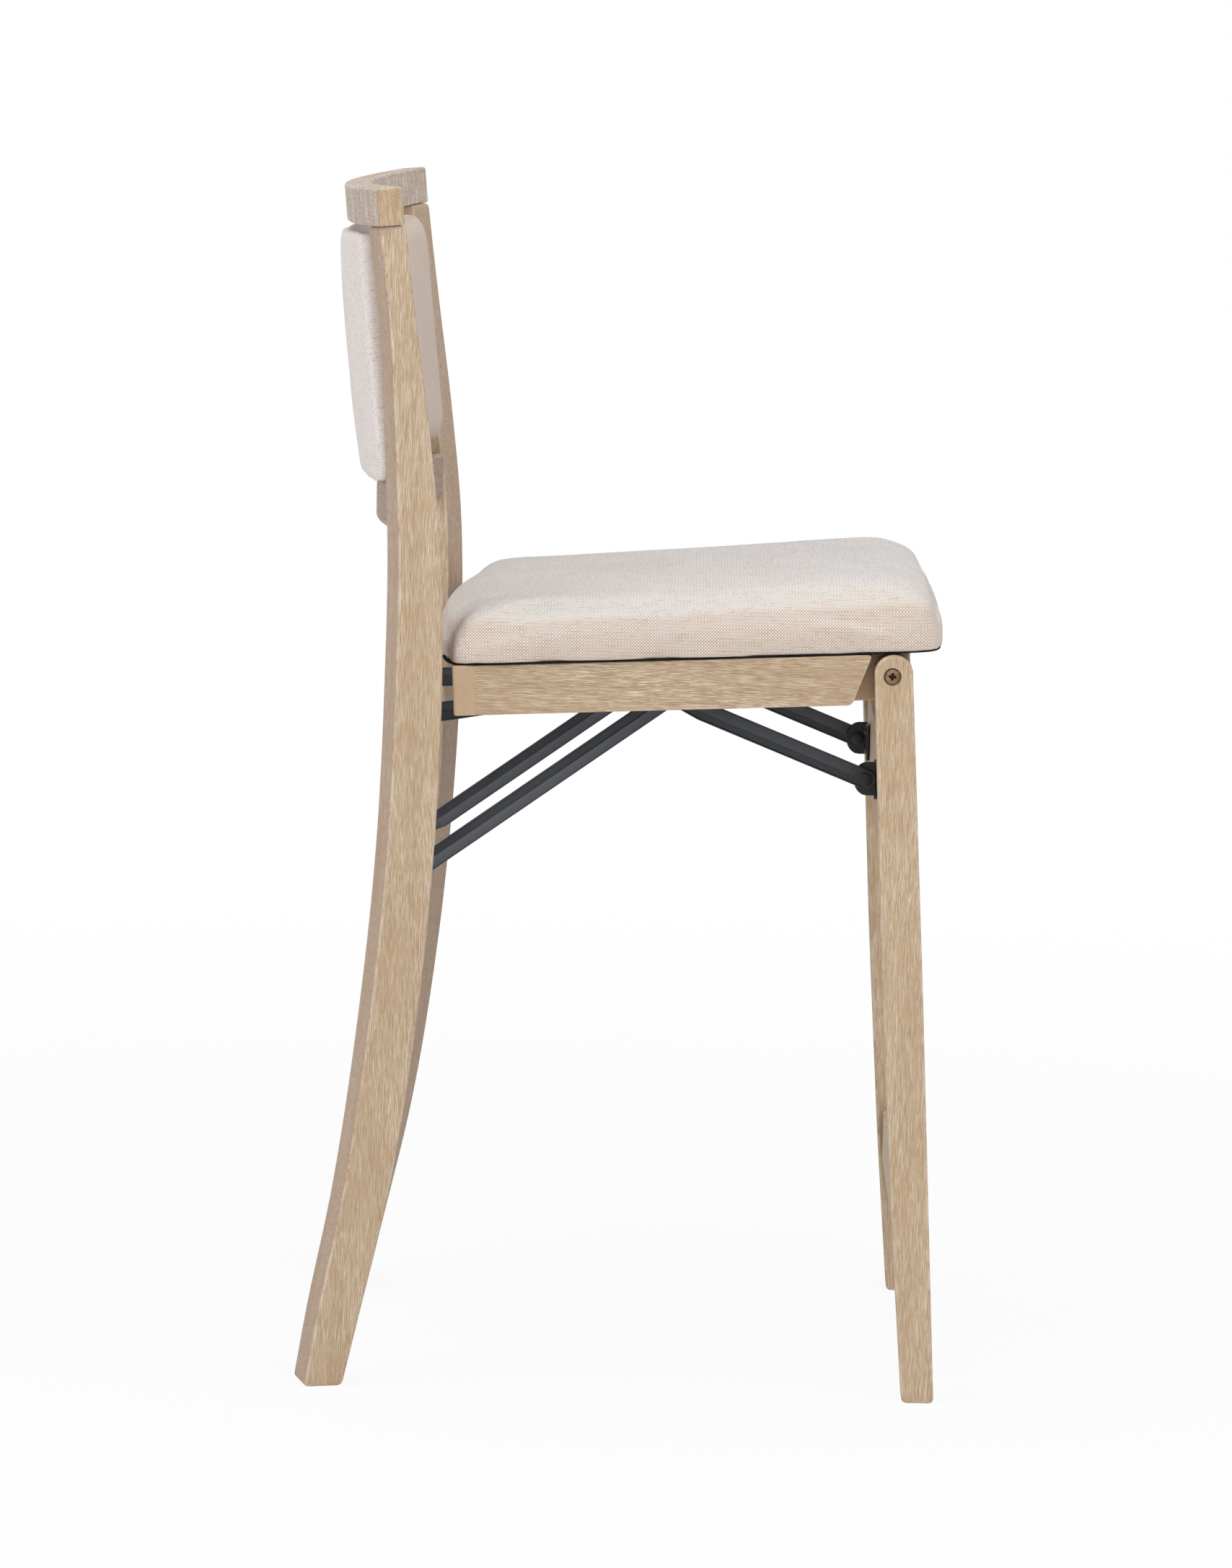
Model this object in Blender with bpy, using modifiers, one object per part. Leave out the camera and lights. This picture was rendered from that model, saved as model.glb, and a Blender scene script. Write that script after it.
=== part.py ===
"""Folding counter stool: bent rear posts, a padded back, a padded seat and a steel folding linkage.

Metres, +Z up. The stool faces -Y and is symmetric about X = 0. Places along the stool's depth are
given as "ahead", metres in front of a mark under the seat; y_of() turns them into world Y.
"""
import math

import bmesh
import bpy
import numpy as np
from mathutils import Matrix, Vector

# Overall
depth_mark = -0.07257           # ahead value of the middle of the stool's depth
fit_gap = 0.0003                # between faces that touch
run_gap = 0.0003                # radial gap of a pin in its hole
edge_round = 0.0025             # rounded edges of the wood
steel_round = 0.0006            # rounded edges of the steel

# Rear posts, one curved board each: height, ahead of the outer front edge, depth of the outer face
post_stations = (
    (0.000, -0.2800, 0.0300),
    (0.056, -0.2672, 0.0335),
    (0.146, -0.2470, 0.0362),
    (0.281, -0.2268, 0.0378),
    (0.415, -0.2150, 0.0372),
    (0.548, -0.2106, 0.0366),
    (0.635, -0.2125, 0.0338),
    (0.723, -0.2213, 0.0282),
    (0.810, -0.2330, 0.0215),
    (0.8890, -0.2432, 0.0205),
)
post_turn = math.radians(15.5)  # the posts follow the curve of the back
post_width = 0.040
post_half_span = 0.209          # outer front edge of a post from the middle
post_foot_in = 0.005            # the feet stand this much closer in
post_straight_above = 0.50
post_slices = 17

# Top rail and lower back rail
top_rail_radius = 0.777         # of its back face
top_rail_half_width = 0.220
top_rail_depth = 0.0198
top_rail_height = 0.0288
top_rail_end_back = -0.2658     # ahead of the back face at its ends
top_rail_lean = math.radians(5.5)
lower_rail_radius = 0.560
lower_rail_depth = 0.020
lower_rail_low = 0.6545
lower_rail_height = 0.0365
lower_rail_centre_back = -0.2720
rail_arc_steps = 18

# Back pad
pad_low = 0.6902
pad_high = 0.8835
pad_half_width = 0.1690
pad_thickness = 0.047
pad_centre_back = -0.2965       # ahead of its back at mid height
pad_lean = math.radians(6.0)
pad_radius = 0.700
pad_board_thickness = 0.008
pad_board_margin = 0.016        # board edge to pad edge, above and below

# Seat: the lower front corner of the side rails, and the slope of the seat
seat_corner_ahead = 0.0996
seat_corner_height = 0.5358
seat_tilt = math.radians(3.0)
rail_height = 0.038
rail_width = 0.020
rail_set_in = 0.0030            # outer face of a rail's front end inside the leg's outer face
rail_taper = 0.015              # and its rear end this much further in
rail_slant = 0.0168             # top of the rail's front end ahead of its bottom
rail_run = 0.2720               # bottom length of a side rail
rear_rail_depth = 0.0250
rear_rail_radius = 2.700
notch_width = 0.013
notch_height = 0.011
notch_over = 0.010              # the notch cutter stands out this far at both faces
apron_front = 0.1445
apron_depth = 0.020
block_width = 0.0295
block_rear = 0.0620

# Seat pad
board_thickness = 0.010
board_inset = 0.016
cover_thickness = 0.0010
cover_inset = 0.004
cushion_front = 0.1700
cushion_rear = -0.2085
cushion_overhang_front = 0.0065  # past the rails' outer faces
cushion_overhang_rear = 0.0055
cushion_height_front = 0.0598
cushion_height_rear = 0.0490
cushion_draw = 0.017            # how far the sides draw in at the top
cushion_tuck = 0.004            # and at the bottom
cushion_widest = 0.34           # level of the widest line, from the bottom
cushion_bow = 0.014
cushion_front_bow = 0.006

# Front legs: height, ahead of the rear edge, ahead of the front edge
leg_stations = (
    (0.000, 0.1490, 0.1735),
    (0.126, 0.1392, 0.1673),
    (0.304, 0.1280, 0.1586),
    (0.5604, 0.1156, 0.1446),
)
leg_outer = 0.2255
leg_width = 0.024
leg_room = 0.0020               # between leg and block, for the washer
rail_front_outer = leg_outer - rail_set_in
rail_rear_outer = rail_front_outer - rail_taper
cushion_half_front = rail_front_outer + cushion_overhang_front
cushion_half_rear = rail_rear_outer + cushion_overhang_rear
block_outer = leg_outer - leg_width - leg_room
block_inner = block_outer - block_width
leg_top_steps = 10
counterbore_radius = 0.0068
counterbore_depth = 0.0035
cross_rail_rear = 0.1225
cross_rail_depth = 0.019
cross_rail_low = 0.430
cross_rail_high = 0.500
footrest_rear = 0.1430
footrest_depth = 0.0205
footrest_low = 0.110
footrest_high = 0.153

# Pivots, as (ahead, height)
upper_rod = (-0.2432, 0.5127)
lower_rod = (-0.2406, 0.3907)
upper_bar_pin = (-0.0303, 0.5466)
lower_bar_pin = (0.0103, 0.5476)
elbow_pin = (-0.0359, 0.5313)
leg_bracket_pin = (0.1130, 0.4690)
seat_pivot = (0.1290, 0.5585)

# Steel linkage: paths of the bars' middles between their pivots
upper_bar_bends = ((-0.2126, 0.5135), (-0.1667, 0.5215))
lower_bar_start = (-0.2340, 0.3893)
front_bar_bend = (0.0006, 0.5118)
bar_width = 0.0150
bar_thickness = 0.0035
bar_eye_radius = 0.0085
rod_radius = 0.004
rod_socket = 0.012
collar_radius = 0.0070
collar_length = 0.006
rivet_radius = 0.003
rivet_head_radius = 0.0052
rivet_head_height = 0.0016
plate_thickness = 0.0025
layer_gap = 0.0005
upper_bar_inner = 0.1190        # distance of the first bar from the middle; the rest stack outwards
seat_plate_inner = upper_bar_inner + bar_thickness + layer_gap
lower_bar_inner = seat_plate_inner + plate_thickness + layer_gap
leg_plate_inner = lower_bar_inner + bar_thickness + layer_gap
front_bar_inner = leg_plate_inner + plate_thickness + layer_gap
seat_flange_width = 0.022
seat_plate_margin = 0.023
seat_plate_low = 0.006
leg_plate_height = 0.026
leg_plate_rear = 0.1037
leg_flange_width = 0.021
leg_flange_drop = 0.003
plate_screw_radius = 0.0035
plate_screw_height = 0.0014

# Pivot screws
screw_head_radius = 0.0062
screw_head_height = 0.0026
screw_shank_radius = 0.0030
screw_length = 0.036
washer_radius = 0.0075

colours = {
    "wood": ((0.56, 0.42, 0.29, 1.0), 0.55, 0.0),
    "wood_shade": ((0.47, 0.37, 0.29, 1.0), 0.55, 0.0),
    "linen": ((0.72, 0.64, 0.56, 1.0), 0.90, 0.0),
    "black_steel": ((0.030, 0.034, 0.038, 1.0), 0.48, 0.6),
    "bronze_screw": ((0.20, 0.12, 0.07, 1.0), 0.38, 0.9),
    "black_cloth": ((0.015, 0.015, 0.016, 1.0), 0.95, 0.0),
    "plywood": ((0.60, 0.47, 0.32, 1.0), 0.70, 0.0),
}


def y_of(ahead):
    """World Y of a place along the stool's depth."""
    return depth_mark - ahead


def seat_point(along, above):
    """(ahead, height) of a place on the tilted seat, from the lower front corner of the rails."""
    ahead = seat_corner_ahead + along * math.cos(seat_tilt) - above * math.sin(seat_tilt)
    height = seat_corner_height + along * math.sin(seat_tilt) + above * math.cos(seat_tilt)
    return ahead, height


def seat_along(ahead):
    """Distance along the seat of a place at the rails' lower edge."""
    return (ahead - seat_corner_ahead) / math.cos(seat_tilt)


def side_frame(x_middle, turn=0.0, about_ahead=0.0):
    """Matrix that stands a flat outline, drawn as (ahead, height), upright and across X."""
    stand = Matrix(((0, 0, -1, 0), (-1, 0, 0, 0), (0, 1, 0, 0), (0, 0, 0, 1)))
    place = Matrix.Translation((x_middle, y_of(about_ahead), 0.0))
    back = Matrix.Translation((-about_ahead, 0.0, 0.0))
    return place @ Matrix.Rotation(turn, 4, "Z") @ stand @ back


def seat_frame():
    """Matrix of the tilted seat: X across, Y towards the rear, Z up from the rails' lower edge."""
    move = Matrix.Translation((0.0, y_of(seat_corner_ahead), seat_corner_height))
    return move @ Matrix.Rotation(-seat_tilt, 4, "X")


def clear_scene():
    for obj in list(bpy.data.objects):
        bpy.data.objects.remove(obj, do_unlink=True)


def make_materials():
    made = {}
    for name, (colour, roughness, metallic) in colours.items():
        mat = bpy.data.materials.new(name)
        mat.use_nodes = True
        shader = mat.node_tree.nodes["Principled BSDF"]
        shader.inputs["Base Color"].default_value = colour
        shader.inputs["Roughness"].default_value = roughness
        shader.inputs["Metallic"].default_value = metallic
        made[name] = mat
    return made


def new_collection(name):
    coll = bpy.data.collections.new(name)
    bpy.context.scene.collection.children.link(coll)
    return coll


def object_from_bmesh(name, bm, coll):
    bmesh.ops.recalc_face_normals(bm, faces=bm.faces)
    mesh = bpy.data.meshes.new(name)
    bm.to_mesh(mesh)
    bm.free()
    obj = bpy.data.objects.new(name, mesh)
    coll.objects.link(obj)
    return obj


def set_place(obj, matrix):
    """Moves a solid and applies the move, so that its modifiers work at true size."""
    obj.data.transform(matrix)
    if matrix.determinant() < 0.0:
        obj.data.flip_normals()
    obj.data.update()
    return obj


def flat_solid(name, outline, thickness, coll):
    """Closed solid of a flat outline, centred on its own plane, from a filled 2D curve."""
    curve = bpy.data.curves.new(name, "CURVE")
    curve.dimensions = "2D"
    curve.fill_mode = "BOTH"
    curve.extrude = thickness / 2
    spline = curve.splines.new("POLY")
    spline.points.add(len(outline) - 1)
    for point, (x, y) in zip(spline.points, outline):
        point.co = (x, y, 0.0, 1.0)
    spline.use_cyclic_u = True
    carrier = bpy.data.objects.new(name + "_curve", curve)
    coll.objects.link(carrier)
    bpy.context.view_layer.update()
    evaluated = carrier.evaluated_get(bpy.context.evaluated_depsgraph_get())
    mesh = bpy.data.meshes.new_from_object(evaluated)
    bpy.data.objects.remove(carrier, do_unlink=True)
    bm = bmesh.new()
    bm.from_mesh(mesh)
    bpy.data.meshes.remove(mesh)
    bmesh.ops.remove_doubles(bm, verts=bm.verts, dist=0.00001)
    bmesh.ops.dissolve_limit(bm, angle_limit=0.001, verts=bm.verts, edges=bm.edges)
    return object_from_bmesh(name, bm, coll)


def box_solid(name, low, high, coll):
    bm = bmesh.new()
    bmesh.ops.create_cube(bm, size=1.0)
    size = [b - a for a, b in zip(low, high)]
    centre = [(a + b) / 2 for a, b in zip(low, high)]
    bmesh.ops.scale(bm, vec=size, verts=bm.verts)
    bmesh.ops.translate(bm, vec=centre, verts=bm.verts)
    return object_from_bmesh(name, bm, coll)


def pin_solid(name, place, radius, x_from, x_to, coll, segments=24):
    """Round bar across X at a pivot place, from one distance from the middle to another."""
    bm = bmesh.new()
    length = abs(x_to - x_from)
    bmesh.ops.create_cone(bm, cap_ends=True, segments=segments, radius1=radius, radius2=radius, depth=length)
    turn = Matrix.Rotation(math.radians(90), 4, "Y")
    move = Matrix.Translation(((x_from + x_to) / 2, y_of(place[0]), place[1]))
    bmesh.ops.transform(bm, matrix=move @ turn, verts=bm.verts)
    return object_from_bmesh(name, bm, coll)


def boolean(obj, other, operation, cutters):
    """Cuts or joins another solid, applied at once, and puts the other solid with the cutters."""
    bpy.context.view_layer.update()
    modifier = obj.modifiers.new(operation.title(), "BOOLEAN")
    modifier.operation = operation
    modifier.solver = "EXACT"
    modifier.object = other
    bpy.context.view_layer.update()
    evaluated = obj.evaluated_get(bpy.context.evaluated_depsgraph_get())
    mesh = bpy.data.meshes.new_from_object(evaluated)
    obj.modifiers.clear()
    old = obj.data
    obj.data = mesh
    bpy.data.meshes.remove(old)
    for coll in list(other.users_collection):
        coll.objects.unlink(other)
    cutters.objects.link(other)
    other.hide_render = True
    other.display_type = "WIRE"
    return obj


def round_edges(obj, width, segments=2, angle=35.0):
    modifier = obj.modifiers.new("Rounded edges", "BEVEL")
    modifier.width = width
    modifier.segments = segments
    modifier.limit_method = "ANGLE"
    modifier.angle_limit = math.radians(angle)
    modifier.harden_normals = False


def dress(obj, material):
    obj.data.materials.clear()
    obj.data.materials.append(material)
    obj.data.shade_smooth()
    obj.data.set_sharp_from_angle(angle=math.radians(32))


def smooth_value(stations, column, height):
    """Value of a station column at a height, on a smooth curve through the stations."""
    z = np.array([row[0] for row in stations])
    v = np.array([row[column] for row in stations])
    slope = np.gradient(v, z)
    i = int(np.clip(np.searchsorted(z, height) - 1, 0, len(z) - 2))
    span = z[i + 1] - z[i]
    t = (height - z[i]) / span
    a = 2 * t ** 3 - 3 * t ** 2 + 1
    b = t ** 3 - 2 * t ** 2 + t
    c = -2 * t ** 3 + 3 * t ** 2
    d = t ** 3 - t ** 2
    return float(a * v[i] + b * span * slope[i] + c * v[i + 1] + d * span * slope[i + 1])


def post_corner(height):
    """Outer front edge of a post: distance from the middle and ahead."""
    lift = max(0.0, 1.0 - height / post_straight_above)
    return post_half_span - post_foot_in * lift, smooth_value(post_stations, 1, height)


def under_top_rail(ahead):
    """Height of the posts' tops, cut parallel to the leaning rail that they carry."""
    return post_stations[-1][0] + (ahead - top_rail_end_back) * math.tan(top_rail_lean)


def rear_post(name, side, coll, cutters):
    """Lofts the post through its stations; the section is a rectangle turned with the back's curve."""
    top = post_stations[-1][0]
    back = Vector((math.sin(post_turn), -math.cos(post_turn)))
    inward = Vector((-math.cos(post_turn), -math.sin(post_turn)))
    bm = bmesh.new()
    rings = []
    for k in range(post_slices + 1):
        height = top * k / post_slices
        depth = smooth_value(post_stations, 2, height)
        outer = Vector(post_corner(height))
        corners = (outer, outer + back * depth, outer + back * depth + inward * post_width,
                   outer + inward * post_width)
        rings.append([bm.verts.new((side * c.x, y_of(c.y), height)) for c in corners])
    for vert in rings[-1]:
        vert.co.z = under_top_rail(depth_mark - vert.co.y)
    for low, high in zip(rings, rings[1:]):
        for i in range(4):
            j = (i + 1) % 4
            bm.faces.new((low[i], low[j], high[j], high[i]))
    bm.faces.new(rings[0])
    bm.faces.new(rings[-1])
    post = object_from_bmesh(name, bm, coll)
    round_edges(post, edge_round)
    for place in (upper_rod, lower_rod):
        reach = rod_reach(place)
        hole = pin_solid(name + "_hole", place, rod_radius + run_gap, side * (reach - post_width), side * (reach + fit_gap),
                         coll)
        boolean(post, hole, "DIFFERENCE", cutters)
    return post


def rod_reach(place):
    """How far a rod reaches from the middle into the post's inner face."""
    half, ahead = post_corner(place[1])
    inner_half = half - post_width * math.cos(post_turn)
    inner_ahead = ahead - post_width * math.sin(post_turn)
    return inner_half + (inner_ahead - place[0]) * math.tan(post_turn) + rod_socket


def arc_outline(radius_back, depth, half_width, steps):
    """Plan of a bent rail, concave to the front, as (x, back): back is 0 at the middle of its back face."""
    angle = math.asin(half_width / radius_back)
    outer = []
    inner = []
    for k in range(steps + 1):
        a = angle * (2 * k / steps - 1)
        outer.append((radius_back * math.sin(a), radius_back * (math.cos(a) - 1)))
        inner.append(((radius_back - depth) * math.sin(a), radius_back * (math.cos(a) - 1) - depth * math.cos(a)))
    return outer + inner[::-1]


def top_rail(coll):
    solid = flat_solid("top_rail", arc_outline(top_rail_radius, top_rail_depth, top_rail_half_width,
                                               rail_arc_steps), top_rail_height, coll)
    sag = top_rail_radius - math.sqrt(top_rail_radius ** 2 - top_rail_half_width ** 2)
    seat_height = under_top_rail(top_rail_end_back) + fit_gap / math.cos(top_rail_lean)
    pivot = Matrix.Translation((0.0, y_of(top_rail_end_back), seat_height))
    lift = Matrix.Translation((0.0, sag, top_rail_height / 2))
    return set_place(solid, pivot @ Matrix.Rotation(-top_rail_lean, 4, "X") @ lift)


def post_inner_at(height, ahead):
    """Distance from the middle of a post's inner face."""
    half, corner_ahead = post_corner(height)
    inner_half = half - post_width * math.cos(post_turn)
    inner_ahead = corner_ahead - post_width * math.sin(post_turn)
    return inner_half + (inner_ahead - ahead) * math.tan(post_turn)


def trim_to_posts(solid, coll, cutters, gap=fit_gap):
    """Cuts a cross piece to the posts' inner faces, with a gap."""
    top = post_stations[-1][0]
    side_gap = gap / math.cos(post_turn)
    for side in (-1, 1):
        bm = bmesh.new()
        rings = []
        for k in range(post_slices + 1):
            height = top * k / post_slices
            plan = [(post_inner_at(height, 0.0) - side_gap, 0.0), (post_inner_at(height, -0.5) - side_gap, -0.5),
                    (0.6, -0.5), (0.6, 0.0)]
            rings.append([bm.verts.new((side * x, y_of(ahead), height)) for x, ahead in plan])
        for low, high in zip(rings, rings[1:]):
            for i in range(4):
                j = (i + 1) % 4
                bm.faces.new((low[i], low[j], high[j], high[i]))
        bm.faces.new(rings[0])
        bm.faces.new(rings[-1])
        cutter = object_from_bmesh("post_side_cutter", bm, coll)
        boolean(solid, cutter, "DIFFERENCE", cutters)
    return solid


def lower_back_rail(coll, cutters):
    wide = post_half_span
    solid = flat_solid("lower_back_rail", arc_outline(lower_rail_radius, lower_rail_depth, wide,
                                                      rail_arc_steps), lower_rail_height, coll)
    set_place(solid, Matrix.Translation((0.0, y_of(lower_rail_centre_back),
                                         lower_rail_low + lower_rail_height / 2)))
    trim_to_posts(solid, coll, cutters)
    round_edges(solid, 0.004, 3)
    return solid


def cushion_cage(name, cuts, coll):
    """A cube from -1 to 1 cut into a grid, ready to be shaped."""
    bm = bmesh.new()
    bmesh.ops.create_cube(bm, size=2.0)
    bmesh.ops.subdivide_edges(bm, edges=bm.edges, cuts=cuts, use_grid_fill=True)
    return object_from_bmesh(name, bm, coll)


def shape_points(obj, function):
    """Moves every point of a solid with a function of arrays x, y, z."""
    count = len(obj.data.vertices)
    flat = np.empty(count * 3)
    obj.data.vertices.foreach_get("co", flat)
    x, y, z = flat.reshape(-1, 3).T
    flat = np.stack(function(x, y, z), axis=1).ravel()
    obj.data.vertices.foreach_set("co", flat)
    obj.data.update()


def subdivide(obj, levels=1):
    modifier = obj.modifiers.new("Soft form", "SUBSURF")
    modifier.levels = levels
    modifier.render_levels = levels


def apply_modifiers(obj):
    bpy.context.view_layer.update()
    evaluated = obj.evaluated_get(bpy.context.evaluated_depsgraph_get())
    mesh = bpy.data.meshes.new_from_object(evaluated)
    obj.modifiers.clear()
    old = obj.data
    obj.data = mesh
    bpy.data.meshes.remove(old)


def pad_matrix():
    """Place of the back pad: local X across, Y towards the rear, Z up the pad."""
    middle = (pad_low + pad_high) / 2
    return Matrix.Translation((0.0, y_of(pad_centre_back), middle)) @ Matrix.Rotation(-pad_lean, 4, "X")


def back_pad_board(coll, cutters):
    high = (pad_high - pad_low) - 2 * pad_board_margin
    depth_in = (pad_thickness - pad_board_thickness) / 2
    outline = arc_outline(pad_radius - depth_in, pad_board_thickness, post_half_span, rail_arc_steps)
    board = flat_solid("back_pad_board", outline, high, coll)
    set_place(board, pad_matrix() @ Matrix.Translation((0.0, -depth_in, 0.0)))
    trim_to_posts(board, coll, cutters)
    return board


def back_pad(coll, cutters):
    """Crowned slab bent to the back's curve, thinner towards its edges, with a slot for its board."""
    pad = cushion_cage("back_pad", 5, coll)
    half_high = (pad_high - pad_low) / 2

    def form(x, y, z):
        edge = np.maximum(np.abs(x), np.abs(z))
        corner = np.sqrt(1.0 - 0.05 * x ** 2 * z ** 2)
        full = 1.0 - 0.20 * edge ** 6
        across = np.sign(x) * np.abs(x) ** 0.75 * pad_half_width * corner
        up = np.sign(z) * np.abs(z) ** 0.75 * half_high * corner
        back = (y * full * 0.5 - 0.5) * pad_thickness
        sag = pad_radius - np.sqrt(pad_radius ** 2 - across ** 2)
        return across, back - sag, up

    shape_points(pad, form)
    subdivide(pad)
    apply_modifiers(pad)
    set_place(pad, pad_matrix())
    depth_in = (pad_thickness - pad_board_thickness) / 2 - fit_gap
    outline = arc_outline(pad_radius - depth_in, pad_board_thickness + 2 * fit_gap, post_half_span, rail_arc_steps)
    slot = flat_solid("pad_slot", outline, (pad_high - pad_low) - 2 * pad_board_margin + 2 * fit_gap, coll)
    set_place(slot, pad_matrix() @ Matrix.Translation((0.0, -depth_in, 0.0)))
    boolean(pad, slot, "DIFFERENCE", cutters)
    return pad


def strap_outline(path, width, round_steps=8):
    """Outline of a flat bar of even width along a path, with round ends."""
    points = [Vector(p) for p in path]
    left = []
    right = []
    for i, point in enumerate(points):
        before = (point - points[i - 1]).normalized() if i > 0 else None
        after = (points[i + 1] - point).normalized() if i + 1 < len(points) else None
        if before is None or after is None:
            along = before or after
            normal = Vector((-along.y, along.x))
            reach = 1.0
        else:
            normal = (Vector((-before.y, before.x)) + Vector((-after.y, after.x))).normalized()
            reach = 1.0 / max(0.3, normal.dot(Vector((-before.y, before.x))))
        left.append(point + normal * reach * width / 2)
        right.append(point - normal * reach * width / 2)

    def cap(centre, start):
        spoke = start - centre
        turned = []
        for k in range(1, round_steps):
            a = -math.pi * k / round_steps
            turned.append(centre + Vector((spoke.x * math.cos(a) - spoke.y * math.sin(a),
                                           spoke.x * math.sin(a) + spoke.y * math.cos(a))))
        return turned

    outline = left + cap(points[-1], left[-1]) + right[::-1] + cap(points[0], right[0])
    return [(p.x, p.y) for p in outline]


def steel_bar(name, side, path, inner, eyes, holes, coll, cutters):
    """Flat bar standing along the stool, with eyes where it turns on a rod and holes for its pins."""
    middle = side * (inner + bar_thickness / 2)
    bar = flat_solid(name, strap_outline(path, bar_width), bar_thickness, coll)
    set_place(bar, side_frame(middle))
    round_edges(bar, steel_round, 1)
    near = side * (inner - 0.01)
    far = side * (inner + bar_thickness + 0.01)
    for place in eyes:
        eye = pin_solid(name + "_eye", place, bar_eye_radius, side * inner, side * (inner + bar_thickness), coll)
        boolean(bar, eye, "UNION", cutters)
    for place, radius in holes:
        hole = pin_solid(name + "_hole", place, radius + run_gap, near, far, coll)
        boolean(bar, hole, "DIFFERENCE", cutters)
    return bar


def pivot_rod(name, place, inner, coll):
    """Turned rod between the posts, with collars on both sides of each bar that turns on it."""
    reach = rod_reach(place)
    steps = [(rod_radius, 0.0)]
    for start in (inner - fit_gap - collar_length, inner + bar_thickness + fit_gap):
        steps += [(rod_radius, start), (collar_radius, start), (collar_radius, start + collar_length),
                  (rod_radius, start + collar_length)]
    steps.append((rod_radius, reach))
    whole = [(0.0, reach)] + steps[::-1] + [(r, -x) for r, x in steps[1:]] + [(0.0, -reach)]
    bm = bmesh.new()
    points = [bm.verts.new((r, 0.0, x)) for r, x in whole]
    for a, b in zip(points, points[1:]):
        bm.edges.new((a, b))
    bmesh.ops.remove_doubles(bm, verts=bm.verts, dist=0.00001)
    mesh = bpy.data.meshes.new(name)
    bm.to_mesh(mesh)
    bm.free()
    rod = bpy.data.objects.new(name, mesh)
    coll.objects.link(rod)
    turn = rod.modifiers.new("Turned", "SCREW")
    turn.axis = "Z"
    turn.steps = 24
    turn.render_steps = 24
    turn.use_merge_vertices = True
    turn.merge_threshold = 0.00001
    apply_modifiers(rod)
    lay = Matrix.Translation((0.0, y_of(place[0]), place[1])) @ Matrix.Rotation(math.radians(90), 4, "Y")
    return set_place(rod, lay)


def side_rail(name, side, coll):
    """Seat side rail with its slanted front end, running inwards to the rear."""
    bottom_rear = seat_point(-rail_run, 0.0)
    top_rear = seat_point(-rail_run, rail_height)
    outline = [bottom_rear, seat_point(0.0, 0.0), seat_point(rail_slant, rail_height), top_rear]
    rail = flat_solid(name, outline, rail_width, coll)
    taper = math.atan((rail_front_outer - rail_rear_outer) / rail_run)
    middle = rail_front_outer - rail_width / 2
    set_place(rail, side_frame(side * middle, side * taper, seat_corner_ahead))
    round_edges(rail, edge_round * 0.6)
    return rail


def seat_rear_rail(coll, cutters):
    """Bowed rail across the rear ends of the side rails, notched for the upper bars."""
    rail = flat_solid("seat_rear_rail", arc_outline(rear_rail_radius, rear_rail_depth, rail_rear_outer,
                                                    rail_arc_steps), rail_height, coll)
    sag = rear_rail_radius - math.sqrt(rear_rail_radius ** 2 - rail_rear_outer ** 2)
    end_slope = math.asin(rail_rear_outer / rear_rail_radius)
    back = rail_run + fit_gap + rear_rail_depth * math.cos(end_slope) + rail_width * math.tan(end_slope)
    place = Matrix.Translation((0.0, back + sag, rail_height / 2))
    set_place(rail, seat_frame() @ place)
    for side in (-1, 1):
        centre = side * (upper_bar_inner + bar_thickness / 2)
        notch = box_solid("notch", (centre - notch_width / 2, back - rear_rail_depth - notch_over, -notch_over),
                          (centre + notch_width / 2, back + sag + notch_over, notch_height), coll)
        set_place(notch, seat_frame())
        boolean(rail, notch, "DIFFERENCE", cutters)
    round_edges(rail, edge_round * 0.6)
    return rail


def seat_box(name, low, high, coll):
    """Box given in the tilted seat's own frame, with its second value counted ahead."""
    box = box_solid(name, (low[0], -high[1], low[2]), (high[0], -low[1], high[2]), coll)
    return set_place(box, seat_frame())


def cushion_plan(x, y):
    """Plan of the cushion from a square of -1 to 1: wider in front, bowed rear and front, round corners."""
    front = seat_along(cushion_front)
    rear = seat_along(cushion_rear)
    middle = (front + rear) / 2
    half_long = (front - rear) / 2
    ahead = -y
    half = cushion_half_rear + (cushion_half_front - cushion_half_rear) * (ahead + 1) / 2
    corner = np.sqrt(1.0 - 0.07 * x ** 2 * y ** 2)
    bow = np.where(ahead < 0, -cushion_bow, cushion_front_bow) * (1 - x ** 2) * np.abs(ahead) ** 3
    return x * half * corner, -(middle + ahead * half_long * corner + bow)


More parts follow.
